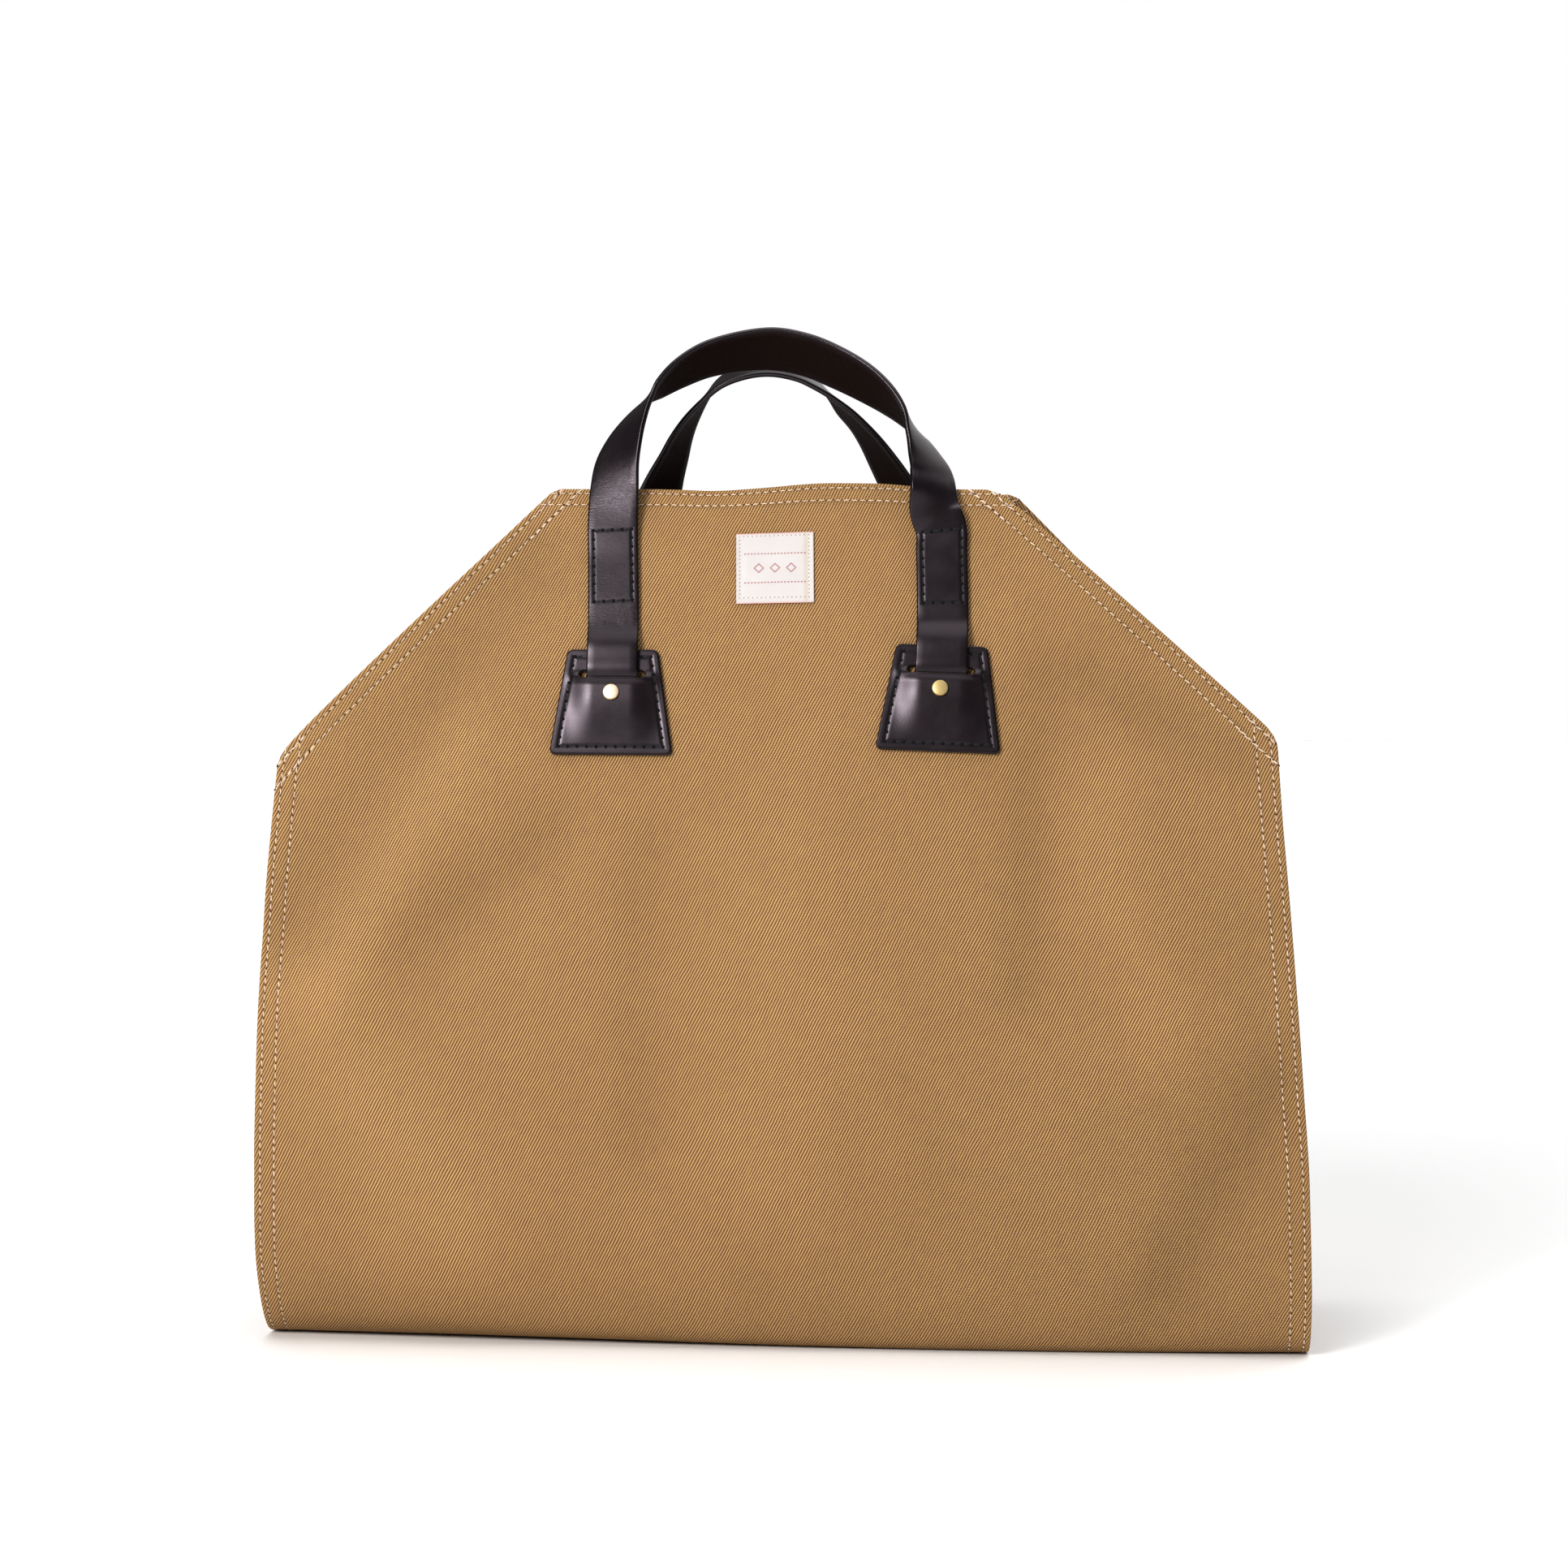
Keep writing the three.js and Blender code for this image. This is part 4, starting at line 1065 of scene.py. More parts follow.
    def build(self, material: bpy.types.Material) -> bpy.types.Object:
        """Makes the sheet as one closed mesh: two faces, and loops round the edge between them."""
        net = self._net(self.edge_round)
        rows, columns = net.shape[:2]
        x, runs = net[..., 0], net[..., 1]
        outer = self.form.sheet_point(x, runs, self.relief(x, runs))
        outer[..., 2] = np.maximum(outer[..., 2], 0)
        inner = self.form.sheet_point(x, runs, -self.depth(x, runs))
        count = rows * columns
        points = [outer.reshape(-1, 3), inner.reshape(-1, 3)]
        maps = [net.reshape(-1, 2), net.reshape(-1, 2)]
        faces = grid_faces(rows, columns) + grid_faces(rows, columns, count, flip=True)
        border = grid_border(rows, columns)
        ring, total = border, 2 * count
        for share, drop in self.edge_profile:
            flat = self._net(self.edge_round * share).reshape(-1, 2)[border]
            loop = self.form.sheet_point(flat[:, 0], flat[:, 1], -(self.wall + self.hem_fold) * drop)
            loop[:, 2] = np.maximum(loop[:, 2], 0)
            points.append(loop)
            maps.append(flat)
            fresh = list(range(total, total + len(border)))
            faces += ring_faces(ring, fresh, flip=True)
            ring, total = fresh, total + len(border)
        faces += ring_faces(ring, [k + count for k in border], flip=True)
        flat = np.vstack(maps)
        uv = flat * MILLIMETRE
        return mesh_object("canvas_cloth", np.vstack(points), faces, material, uv, self._marks(flat))

    def seams(self, outside: bool) -> list[SeamPath]:
        """The hem's double rows along rims, slanted corners and sides, on one face of the cloth."""
        lines = self._rim_lines() + self._slant_lines() + self._side_lines()
        return [seam for line in lines for seam in self._sewn(line, outside)]

    def _rim_lines(self) -> list[Array]:
        """Flat rows along both rims."""
        found = []
        for row in self.rim_rows:
            for run in (row, 2 * self.form.half_length - row):
                left, right = (float(edge) for edge in self.form.sheet_edges(np.array(run)))
                found.append(np.stack([np.linspace(left, right, 90), np.full(90, run)], axis=1))
        return found

    def _slant_lines(self) -> list[Array]:
        """Flat rows along the slanted corners, doubled where each seam starts and ends."""
        found = []
        for side in Side:
            length = float(np.linalg.norm(np.ptp(self.form.slant(side), axis=0)))
            for row, back in zip(self.side_rows, self.rim_locks[side]):
                beside, past = row + self.lock_step, length + self.seam_end
                rows = [
                    self._slant_row(side, row, -self.seam_end, past),
                    self._slant_row(side, beside, -self.lock_end, back),
                    self._slant_row(side, beside, length - self.shoulder_lock, past),
                ]
                found += [self._turned(line, turn) for line in rows for turn in (1, -1)]
        return found

    def _side_lines(self) -> list[Array]:
        """Flat rows down both sides, from shoulder to shoulder."""
        half, found = self.form.half_length, []
        shoulder = {Side.LEFT: CUT[2][0] * half, Side.RIGHT: CUT[1][0] * half}
        for side, other in ((Side.LEFT, Side.RIGHT), (Side.RIGHT, Side.LEFT)):
            near, far = shoulder[side], 2 * half - shoulder[other]
            runs = np.linspace(near - self.knee_reach, far + self.knee_reach, 320)
            left, right = self.form.sheet_edges(np.clip(runs, near + self.knee_calm, far - self.knee_calm))
            for row in self.side_rows:
                found.append(np.stack([left + row if side is Side.LEFT else right - row, runs], axis=1))
        return found

    def _slant_row(self, side: Side, inset: float, low: float, high: float) -> Array:
        """Flat points along a slanted edge at inset from it, from low to high millimetres below the rim."""
        corners = self.form.slant(side)
        ways = unit(np.diff(corners, axis=0))
        ways = np.vstack([ways, ways[-1:]])
        sign = -1 if side is Side.LEFT else 1
        line = corners + np.stack([-sign * ways[:, 1], sign * ways[:, 0]], axis=1) * inset
        spare = self.line_spare
        line = np.vstack([line[0] - ways[0] * spare, line, line[-1] + ways[-1] * spare])
        along = np.concatenate([[0], np.cumsum(np.linalg.norm(np.diff(line, axis=0), axis=1))]) - spare
        spots = np.linspace(low, high, max(4, round((high - low) / 2)))
        return np.stack([np.interp(spots, along, line[:, k]) for k in (0, 1)], axis=1)

    def _turned(self, line: Array, turn: int) -> Array:
        """A line of the front half, or the same line of the back half."""
        return line if turn > 0 else np.array([0, 2 * self.form.half_length]) - line

    def _sewn(self, line: Array, outside: bool) -> list[SeamPath]:
        """The part of a line that lies on the cloth, lifted onto one face of it."""
        rim, sides = self._edge_distances(line[:, 0], line[:, 1])
        x, run = line[np.minimum(rim, sides) > self.sewn_margin].T
        normals = self.form.sheet_normal(x, run)
        if outside:
            return [SeamPath(self.form.sheet_point(x, run, self.relief(x, run)), normals)]
        return [SeamPath(self.form.sheet_point(x, run, -self.depth(x, run)), -normals)]


# Leather


@dataclass(frozen=True)
class Leg:
    """Where one leg of a handle and its patch lie."""

    x: float
    drop: float
    turn: float
    drift: float


LEGS = {
    (Panel.FRONT, Side.LEFT): Leg(-1.023, 0, 0.4, -0.09),
    (Panel.FRONT, Side.RIGHT): Leg(0.978, -4, -2, -0.14),
    (Panel.BACK, Side.LEFT): Leg(-0.935, 0, 1, 0.42),
    (Panel.BACK, Side.RIGHT): Leg(1.01, -2, -1, -0.14),
}
# Free stretch of each handle: across, depth, rise, heading and pitch of the strap's near edge
ARCH = {
    Panel.FRONT: (
        (-1.003, -0.46, -0.15, -4, 0),
        (-1.0, -0.43, 0, -12, -1),
        (-0.99, -0.38, 0.19, -26, -2),
        (-0.947, -0.31, 0.38, -44, 0),
        (-0.892, -0.26, 0.52, -61, -1),
        (-0.824, -0.225, 0.64, -80, -3),
        (-0.756, -0.205, 0.72, -88, 12),
        (-0.627, -0.175, 0.835, -94, 25),
        (-0.447, -0.145, 0.937, -95, 36),
        (-0.104, -0.115, 1, -87, 49),
        (0.115, -0.123, 0.955, -80, 50),
        (0.294, -0.143, 0.868, -75, 48),
        (0.472, -0.174, 0.752, -74, 39),
        (0.618, -0.205, 0.622, -78, 24),
        (0.72, -0.24, 0.493, -86, 8),
        (0.785, -0.285, 0.375, -102, -6),
        (0.835, -0.34, 0.245, -119, -7),
        (0.873, -0.41, 0.12, -135, -4),
        (0.885, -0.475, 0, -148, -2),
        (0.892, -0.487, -0.15, -167, -1),
    ),
    Panel.BACK: (
        (-0.89, 0.487, -0.15, -167, -1),
        (-0.843, 0.475, 0, -151, -2),
        (-0.792, 0.41, 0.14, -133, -1),
        (-0.733, 0.355, 0.29, -117, 1),
        (-0.68, 0.31, 0.43, -106, 1),
        (-0.61, 0.27, 0.57, -97, -2),
        (-0.53, 0.235, 0.69, -87, -5),
        (-0.43, 0.21, 0.805, -81, -12),
        (-0.276, 0.19, 0.888, -82, -21),
        (-0.122, 0.182, 0.908, -86, -23),
        (0.04, 0.19, 0.868, -90, -20),
        (0.147, 0.205, 0.795, -92, -11),
        (0.24, 0.23, 0.71, -87, -4),
        (0.323, 0.26, 0.61, -76, 0),
        (0.415, 0.3, 0.5, -70, 0),
        (0.5, 0.34, 0.37, -61, 0),
        (0.575, 0.39, 0.23, -50, -1),
        (0.65, 0.44, 0.08, -40, -2),
        (0.7, 0.475, -0.02, -29, -2),
        (0.742, 0.487, -0.16, -14, -1),
    ),
}


@dataclass
class LeatherLay:
    """Sizes that the straps and patches share, and how they lie over each other on the cloth."""

    form: CanvasForm
    strap_width: float = 30.0
    strap_thick: float = 3.4
    strap_free: float = 28.0
    strap_spring: float = 1.1
    strap_tail: float = 22.0
    strap_climb: float = 15.0
    strap_settle: float = 2.0
    strap_dive: float = 3.5
    handle_spacing: float = 190.0
    handle_rise: float = 86.0
    handle_reach: float = 100.0
    patch_height: float = 63.0
    patch_thick: float = 2.6
    patch_drop: float = 103.0
    patch_slope: float = 8.0
    slot_drop: float = 15.6
    slot_gap: float = 5.0
    slot_lip: float = 1.6
    lip_run: float = 0.5
    rivet_drop: float = 27.0
    gap: float = 0.42
    stitch_pitch: float = 5.4

    def __post_init__(self) -> None:
        """Works out the levels down a patch, from its middle."""
        self.patch_top = -self.patch_height / 2
        self.slot_down = self.slot_drop - self.patch_height / 2
        self.slot_top = self.slot_down - self.slot_gap / 2
        self.slot_bottom = self.slot_down + self.slot_gap / 2
        self.dive_end = self.slot_bottom + self.strap_dive
        self.lip_end = self.dive_end + self.lip_run
        self.tail_end = self.slot_down + self.strap_tail
        self.rivet_down = self.rivet_drop - self.patch_height / 2

    def over(self, leg: Leg, a: Array, b: Array) -> tuple[Array, Array]:
        """Flat place at a across and b down from the middle of a leg's patch."""
        turn = math.radians(leg.turn)
        x, s = leg.x * self.handle_spacing / 2, self.middle(leg)
        a, b = np.asarray(a, float), np.asarray(b, float)
        return x + a * math.cos(turn) + b * math.sin(turn), s - a * math.sin(turn) + b * math.cos(turn)

    def middle(self, leg: Leg) -> float:
        """Way from the rim to the middle of a leg's patch."""
        return self.patch_drop + leg.drop + self.patch_height / 2

    def strap_lift(self, b: Array) -> Array:
        """A strap's under side above the cloth, b below the middle of its patch."""
        climb = smooth(self.patch_top - self.strap_climb, self.patch_top - self.strap_settle, b)
        dive = np.clip((b - self.slot_top) / (self.dive_end - self.slot_top), 0, 1)
        return self.gap + (self.patch_thick + self.gap) * climb * (1 - dive)

    def patch_lift(self, a: Array, b: Array) -> Array:
        """A patch's under side above the cloth, raised over the strap's tail."""
        edge = self.strap_width / 2
        beside = 1 - smooth(edge - 4.0, edge + 1.7 * self.patch_slope, np.abs(a))
        below = smooth(self.slot_top, self.slot_bottom, b)
        above = 1 - smooth(self.slot_bottom + 7.0, -self.patch_top - 1.0, b)
        lip = self.slot_lip * (1 - smooth(self.slot_bottom, self.lip_end, b))
        return self.gap + (self.gap + self.strap_thick + lip) * beside * below * above


@dataclass
class Handle:
    """One strap handle: both legs and the free arch as a single ribbon."""

    lay: LeatherLay
    panel: Panel
    cell: float = 2.2
    box_top: float = 29.0
    box_height: float = 44.5
    box_width: float = 22.6
    skived: float = 1.4
    corner: float = 1.25
    corner_power: float = 0.75
    shoulder_drop: float = 0.1
    crown: float = 0.1
    flat_points: int = 8
    knot_step: float = 15.0
    stitch_sink: float = 0.05

    def __post_init__(self) -> None:
        """Lays the ribbon through the same knots as the CAD strap."""
        front = self.panel is Panel.FRONT
        self.sides = (Side.LEFT, Side.RIGHT) if front else (Side.RIGHT, Side.LEFT)
        first, first_b = self._laying_knots(self.sides[0], 1)
        last, last_b = self._laying_knots(self.sides[1], -1)
        arch = self._arch_knots()
        knots = np.concatenate([first, arch, last[::-1]])
        path, edge = PathCurve(knots[:, :3]), PathCurve(knots[:, 3:], centripetal=False)
        spans = len(knots) - 1
        length = path.lengths[-1]
        t = np.interp(np.linspace(0, length, round(length / self.cell) + 1), path.lengths, path.ticks)
        nudge = 0.002
        self.centre = path.point(t)
        forward = unit(path.point(t + nudge) - path.point(t - nudge))
        near = edge.point(t)
        self.near = unit(near - forward * np.sum(near * forward, axis=1, keepdims=True))
        self.grain = np.cross(self.near, forward)
        self.along = np.interp(t, path.ticks, path.lengths)
        at_knots = np.interp(np.arange(spans + 1) / spans, path.ticks, path.lengths)
        self.levels = {
            self.sides[0]: (np.array(first_b), at_knots[: len(first_b)]),
            self.sides[1]: (np.array(last_b), at_knots[::-1][: len(last_b)]),
        }

    def _laying_knots(self, side: Side, edge: int) -> tuple[Array, list[float]]:
        """Knots of a leg from its hidden tail up towards the rim: point and near vector, and their levels."""
        lay, leg = self.lay, LEGS[self.panel, side]
        middle = lay.middle(leg)
        leave = lay.strap_free - middle
        climb = [lay.patch_top - up for up in (lay.strap_settle, lay.strap_climb / 2, lay.strap_climb)]
        levels = steps_between([lay.tail_end, lay.dive_end, lay.slot_top, *climb, leave], self.knot_step)
        b = np.array(levels)
        a = leg.drift * lay.strap_width * smooth(-lay.patch_top, middle, -b)
        x, s = lay.over(leg, a, b)
        h = lay.strap_lift(b) + lay.strap_spring * smooth(-leave - 15.0, -leave, -b) + lay.strap_thick / 2
        half = lay.strap_width / 2
        left, right = (lay.form.panel_point(self.panel, x + k * half, s, h) for k in (-1, 1))
        return np.hstack([lay.form.panel_point(self.panel, x, s, h), unit(right - left) * edge]), levels

    def _arch_knots(self) -> Array:
        """Knots of the free stretch: point and near vector."""
        across, depth, rise, heading, pitch = np.array(ARCH[self.panel], float).T
        heading, pitch = np.radians(heading), np.radians(pitch)
        lay = self.lay
        height = lay.form.rim_height + rise * lay.handle_rise
        point = [across * lay.handle_reach, depth * lay.form.half_depth, height]
        near = [np.cos(heading) * np.cos(pitch), np.sin(heading) * np.cos(pitch), np.sin(pitch)]
        return np.stack([*point, *near], axis=1)

    def way(self, side: Side, b: float) -> float:
        """Way along the ribbon of a level b below the middle of a leg's patch."""
        levels, ways = self.levels[side]
        return float(np.interp(-b, -levels, ways))

    def box_levels(self, side: Side) -> tuple[float, float]:
        """Ways along the ribbon of the stitched box's two ends."""
        middle = self.lay.middle(LEGS[self.panel, side])
        tops = (self.box_top, self.box_top + self.box_height)
        ends = [self.way(side, top - middle) for top in tops]
        return min(ends), max(ends)

    def at(self, way: Array, a: Array, lift: float) -> SeamPath:
        """Places over the grain side of the ribbon."""
        def follow(rows: Array) -> Array:
            """The ribbon's rows at the ways."""
            return np.stack([np.interp(way, self.along, rows[:, k]) for k in range(3)], axis=-1)

        grain = unit(follow(self.grain))
        points = follow(self.centre) + unit(follow(self.near)) * np.asarray(a)[..., None]
        return SeamPath(points + grain * (self.lay.strap_thick / 2 + lift), grain)

    def _outline(self) -> tuple[Array, Array, Array]:
        """The strap's section: across and up, with marks for the grain side and the burnished edge."""
        half, thick = self.lay.strap_width / 2, self.lay.strap_thick / 2
        corner, n = self.corner, self.flat_points
        flat = np.linspace(-half + corner, half - corner, n)
        turn = np.radians(np.linspace(90, -90, 7))[1:-1]
        sweep = np.sign(np.sin(turn)) * np.abs(np.sin(turn)) ** self.corner_power
        bow = np.abs(np.cos(turn)) ** self.corner_power
        high = thick - self.shoulder_drop
        top = np.stack([flat, high + self.crown * (1 - (flat / half) ** 2)], axis=1)
        right = np.stack([half - corner + corner * bow, high * sweep], axis=1)
        under = np.stack([flat[::-1], np.full(n, -thick)], axis=1)
        left = np.stack([-(half - corner) - corner * bow[::-1], -high * sweep], axis=1)
        section = np.vstack([top, right, under, left])
        grain = np.concatenate([np.ones(n), 0.5 + 0.5 * sweep, np.zeros(n), 0.5 - 0.5 * sweep])
        rim = np.concatenate([np.zeros(n), np.ones(len(turn)), np.zeros(n), np.ones(len(turn))])
        ends = np.cumsum([0, n - 1, 1 + len(turn), n - 1])
        rim[ends] = 0.25
        return section, grain, rim

    def build(self, material: bpy.types.Material) -> bpy.types.Object:
        """Makes the strap as one closed mesh."""
        section, grain, rim = self._outline()
        share = section[:, 1] / self.lay.strap_thick + 0.5
        up = section[None, :, 1] - self._skive()[:, None] * share
        points = self.centre[:, None] + self.near[:, None] * section[None, :, :1]
        points = points + self.grain[:, None] * up[..., None]
        rows, columns = points.shape[:2]
        faces = []
        for i in range(rows - 1):
            start, end = i * columns, (i + 1) * columns
            faces += ring_faces(range(start, end), range(end, end + columns))
        faces.append(tuple(range(columns))[::-1])
        faces.append(tuple(range((rows - 1) * columns, rows * columns)))
        uv = np.stack(np.broadcast_arrays(self.along[:, None], section[None, :, 0]), axis=-1).reshape(-1, 2)
        marks = {
            "grain": np.tile(grain, rows),
            "rim": np.tile(rim, rows),
            "flex": np.repeat(self._flex(), columns) * np.tile(grain, rows),
        }
        name = f"strap_{self.panel.value}"
        return mesh_object(name, points.reshape(-1, 3), faces, material, uv * MILLIMETRE, marks)

    def _skive(self) -> Array:
        """How much the grain side is pared off towards the hidden tails."""
        first, last = (self.way(side, self.lay.dive_end) for side in self.sides)
        return self.skived * (smooth(first, 0, self.along) + smooth(last, self.along[-1], self.along))

    def _flex(self) -> Array:
        """How creased the strap is along its length: most beside the stitched box of the first leg."""
        first, second = self.box_levels(self.sides[0]), self.box_levels(self.sides[1])
        creased = 1.0 * hump(first[0] - 11, 11, self.along) + 0.75 * hump(first[1] + 26, 22, self.along)
        creased += 0.22 * hump((first[0] + first[1]) / 2, 26, self.along)
        creased += 0.18 * hump(second[0] - 22, 24, self.along) + 0.15 * hump(second[1] + 12, 14, self.along)
        return creased

    def groove(self, b: Bench) -> Wire:
        """Mask of the two stitched boxes on the ribbon's map, where the leather gets a dent and painted
        shade.
        """
        _, u, v = b.surface()
        masks = []
        for side in self.sides:
            low, high = self.box_levels(side)
            run = abs(u * MILLIMETRES - (low + high) / 2) - (high - low) / 2
            across = abs(v * MILLIMETRES) - self.box_width / 2
            line = run.most(across)
            masks.append(line.bell(0.0, 1.0) * b.mark("grain"))
        return masks[0].most(masks[1])

    def seams(self) -> list[SeamPath]:
        """The stitched box on each leg."""
        found = []
        for side in self.sides:
            low, high = self.box_levels(side)
            half = self.box_width / 2
            corners = [(low, -half), (high, -half), (high, half), (low, half), (low, -half)]
            rows = between(corners, self.lay.stitch_pitch)
            found += [self.at(row[:, 0], row[:, 1], -self.stitch_sink) for row in rows]
        return found


@dataclass
class Patch:
    """One leather patch with a slot that its strap dives through."""

    lay: LeatherLay
    panel: Panel
    side: Side
    top_width: float = 53.0
    bottom_width: float = 72.0
    corner: float = 4.0
    slot_room: float = 4.2
    stitch_inset: float = 4.7
    cell: float = 1.7
    edge_round: float = 0.8
    brim: float = 0.7
    under_inset: float = 0.35
    slot_share: float = 0.8
    stitch_sink: float = 0.05
    beside_strap: float = 1.5
    net_inset: float = 2.2
    net_clear: float = 2.0
    least_area: float = 1e-4

    def __post_init__(self) -> None:
        """Finds the leg that the patch holds, and how much its sides lean."""
        self.leg = LEGS[self.panel, self.side]
        self.half = self.lay.patch_height / 2
        self.slope = (self.bottom_width - self.top_width) / 2 / self.lay.patch_height
        self.lean = math.hypot(1, self.slope)
        self.slot_reach = self.lay.strap_width / 2 + self.slot_room - self.lay.slot_gap / 2

    def _width(self, b: Number) -> Number:
        """Half-width at b below the middle."""
        return self.top_width / 2 + (b + self.half) * self.slope

    def _outline(self, inset: float) -> Array:
        """The patch's outline with round corners, moved inwards by inset."""
        half = self.half

        def side_at(b: float) -> float:
            """Place of the moved side at a level."""
            return self._width(b) - inset * self.lean

        low, high = -half + inset, half - inset
        corners = [(-side_at(low), low), (side_at(low), low), (side_at(high), high), (-side_at(high), high)]
        vertices = np.array(corners)
        radius = max(self.corner - inset * 0.6, 1.0)
        line = []
        for k in range(4):
            here = vertices[k]
            before = here + unit(vertices[k - 1] - here) * radius
            after = here + unit(vertices[(k + 1) % 4] - here) * radius
            for t in np.linspace(0, 1, 7):
                line.append((1 - t) ** 2 * before + 2 * t * (1 - t) * here + t * t * after)
            following = vertices[(k + 1) % 4] + unit(here - vertices[(k + 1) % 4]) * radius
            count = 24 if k % 2 == 0 else 30
            for t in np.linspace(0, 1, count + 1)[1:-1]:
                line.append(after + (following - after) * t)
        return np.array(line)

    def _slot(self, grow: float) -> Array:
        """The slot's outline, moved outwards by grow."""
        radius = self.lay.slot_gap / 2 + grow
        reach = self.slot_reach

        def bend(x: float, low: float) -> list[tuple[float, float]]:
            """Half a circle about x, from low degrees on."""
            turn = np.radians(np.linspace(low, low + 180, 10))
            return [(x + radius * math.cos(t), radius * math.sin(t)) for t in turn]

        right, left = bend(reach, -90), bend(-reach, 90)
        run = np.linspace(reach, -reach, 24)[1:-1]
        line = right + [(a, radius) for a in run] + left + [(a, -radius) for a in run[::-1]]
        return np.array(line) + [0, self.lay.slot_down]

    def _point(self, flat: Array, up: Array) -> Array:
        """World points at heights over the patch's under side."""
        a, b = flat[:, 0], flat[:, 1]
        x, s = self.lay.over(self.leg, a, b)
        return self.lay.form.panel_point(self.panel, x, s, self.lay.patch_lift(a, b) + up)

    def _filled(self, outline: Array, slot: Array) -> tuple[Array, list[list[int]]]:
        """Triangles between an outline and the slot, over an even net of points."""
        half = self.half
        net = []
        for i, b in enumerate(np.arange(-half, half, self.cell)):
            for a in np.arange(-38 + (i % 2) * self.cell / 2, 38, self.cell):
                net.append((a, b))
        net = np.array(net)
        inside = np.minimum(self._width(net[:, 1]) - np.abs(net[:, 0]), half - np.abs(net[:, 1]))
        clear = inside > self.net_inset
        beyond = np.maximum(np.abs(net[:, 0]) - self.slot_reach, 0)
        away = np.hypot(beyond, net[:, 1] - self.lay.slot_down) - self.lay.slot_gap / 2
        net = net[clear & (away > self.net_clear)]
        corners = (np.abs(net[:, 0]) > self.top_width / 2 - 5) & (net[:, 1] < -half + 4)
        net = net[~corners]
        flat = np.vstack([outline, slot, net])
        n, m = len(outline), len(slot)
        edges = [(k, (k + 1) % n) for k in range(n)] + [(n + k, n + (k + 1) % m) for k in range(m)]
        vertices, _, faces, *_ = delaunay_2d_cdt([Vector(p) for p in flat], edges, [], 0, 1e-6)
        spots = np.array([list(p) for p in vertices])
        kept = []
        for face in faces:
            middle = spots[list(face)].mean(axis=0)
            (ax, ay), (bx, by) = spots[face[1]] - spots[face[0]], spots[face[2]] - spots[face[0]]
            if abs(ax * by - ay * bx) < self.least_area:
                continue
            if self._inside(middle, outline) and not self._inside(middle, slot):
                kept.append(list(face))
        return spots, kept

    @staticmethod
    def _inside(point: Array, ring: Array) -> bool:
        """Whether a point lies inside a closed ring."""
        x, y = point
        x0, y0 = ring[:, 0], ring[:, 1]
        x1, y1 = np.roll(x0, -1), np.roll(y0, -1)
        crossing = (y0 > y) != (y1 > y)
        with np.errstate(divide="ignore", invalid="ignore"):
            hits = crossing & (x < (x1 - x0) * (y - y0) / (y1 - y0) + x0)
        return bool(np.count_nonzero(hits) % 2)

    def _shell(self) -> tuple[Array, Array, list[Sequence[int]], int, int]:
        """The whole patch laid flat, with round edges outside and in the slot.

        Returns:
            Flat places, heights, faces, and how many places the top has and each pair of rings.
        """
        thick, r = self.lay.patch_thick, self.edge_round
        brim, low = r + self.brim, self.under_inset
        rings = ((r, thick - 0.03), (r * 0.35, thick - 0.22), (0.0, thick - 0.8), (0.0, 0.7))
        spots, cells = self._filled(self._outline(brim), self._slot(brim * self.slot_share))
        under, under_cells = self._filled(self._outline(low), self._slot(low))
        flats, ups = [spots], [np.full(len(spots), thick)]
        faces = [face if self._turns_left(spots, face) else face[::-1] for face in cells]
        n, m, total = len(self._outline(brim)), len(self._slot(0)), len(spots)
        outer, slot = list(range(n)), list(range(n, n + m))
        for inset, up in rings:
            line = np.vstack([self._outline(inset), self._slot(inset * self.slot_share)])
            flats.append(line)
            ups.append(np.full(n + m, up))
            fresh = list(range(total, total + n + m))
            faces += ring_faces(outer, fresh[:n], flip=True) + ring_faces(slot, fresh[n:])
            outer, slot, total = fresh[:n], fresh[n:], total + n + m
        fresh = list(range(total, total + n + m))
        faces += ring_faces(outer, fresh[:n], flip=True) + ring_faces(slot, fresh[n:])
        for face in under_cells:
            turned = face[::-1] if self._turns_left(under, face) else face
            faces.append([total + k for k in turned])
        flats.append(under)
        ups.append(np.zeros(len(under)))
        return np.vstack(flats), np.concatenate(ups), faces, len(spots), n + m

    def build(self, material: bpy.types.Material) -> bpy.types.Object:
        """Makes the patch as one closed mesh, burnished at its edges."""
        flat, up, faces, tops, ring = self._shell()
        place = np.arange(len(flat))
        top = (place < tops).astype(float)
        rim = np.where(place < tops, 0.0, np.where(place < tops + ring, 0.3, 1.0))
        marks = {"grain": np.maximum(top, 0.4 * (up > 0)), "rim": rim, "flex": self._flex(flat) * top}
        name = f"patch_leather_{self.panel.value}_{self.side.value}"
        piece = mesh_object(name, self._point(flat, up), faces, material, flat * MILLIMETRE, marks)
        return outward(piece)

    @staticmethod
    def _turns_left(spots: Array, face: Sequence[int]) -> bool:
        """Whether a flat triangle's corners run so that it faces out once it is laid on the cloth."""
        a, b, c = (spots[k] for k in face[:3])
        return float((b[0] - a[0]) * (c[1] - a[1]) - (b[1] - a[1]) * (c[0] - a[0])) < 0

    def _flex(self, flat: Array) -> Array:
        """Light creases beside the slot."""
        return 0.25 * hump(0, 24, flat[:, 0]) * hump(self.lay.slot_down + 6, 5, flat[:, 1])

    def groove(self, b: Bench) -> Wire:
        """Mask of the stitched border on the patch's map, where the leather gets a dent and painted shade."""
        _, u, v = b.surface()
        a, d = abs(u * MILLIMETRES), v * MILLIMETRES
        sides = (a - self._width(d)) * (1 / self.lean) + self.stitch_inset
        ends = abs(d) - (self.half - self.stitch_inset)
        return sides.most(ends).bell(0.0, 1.1) * b.mark("grain").ramp(0.6, 0.9)

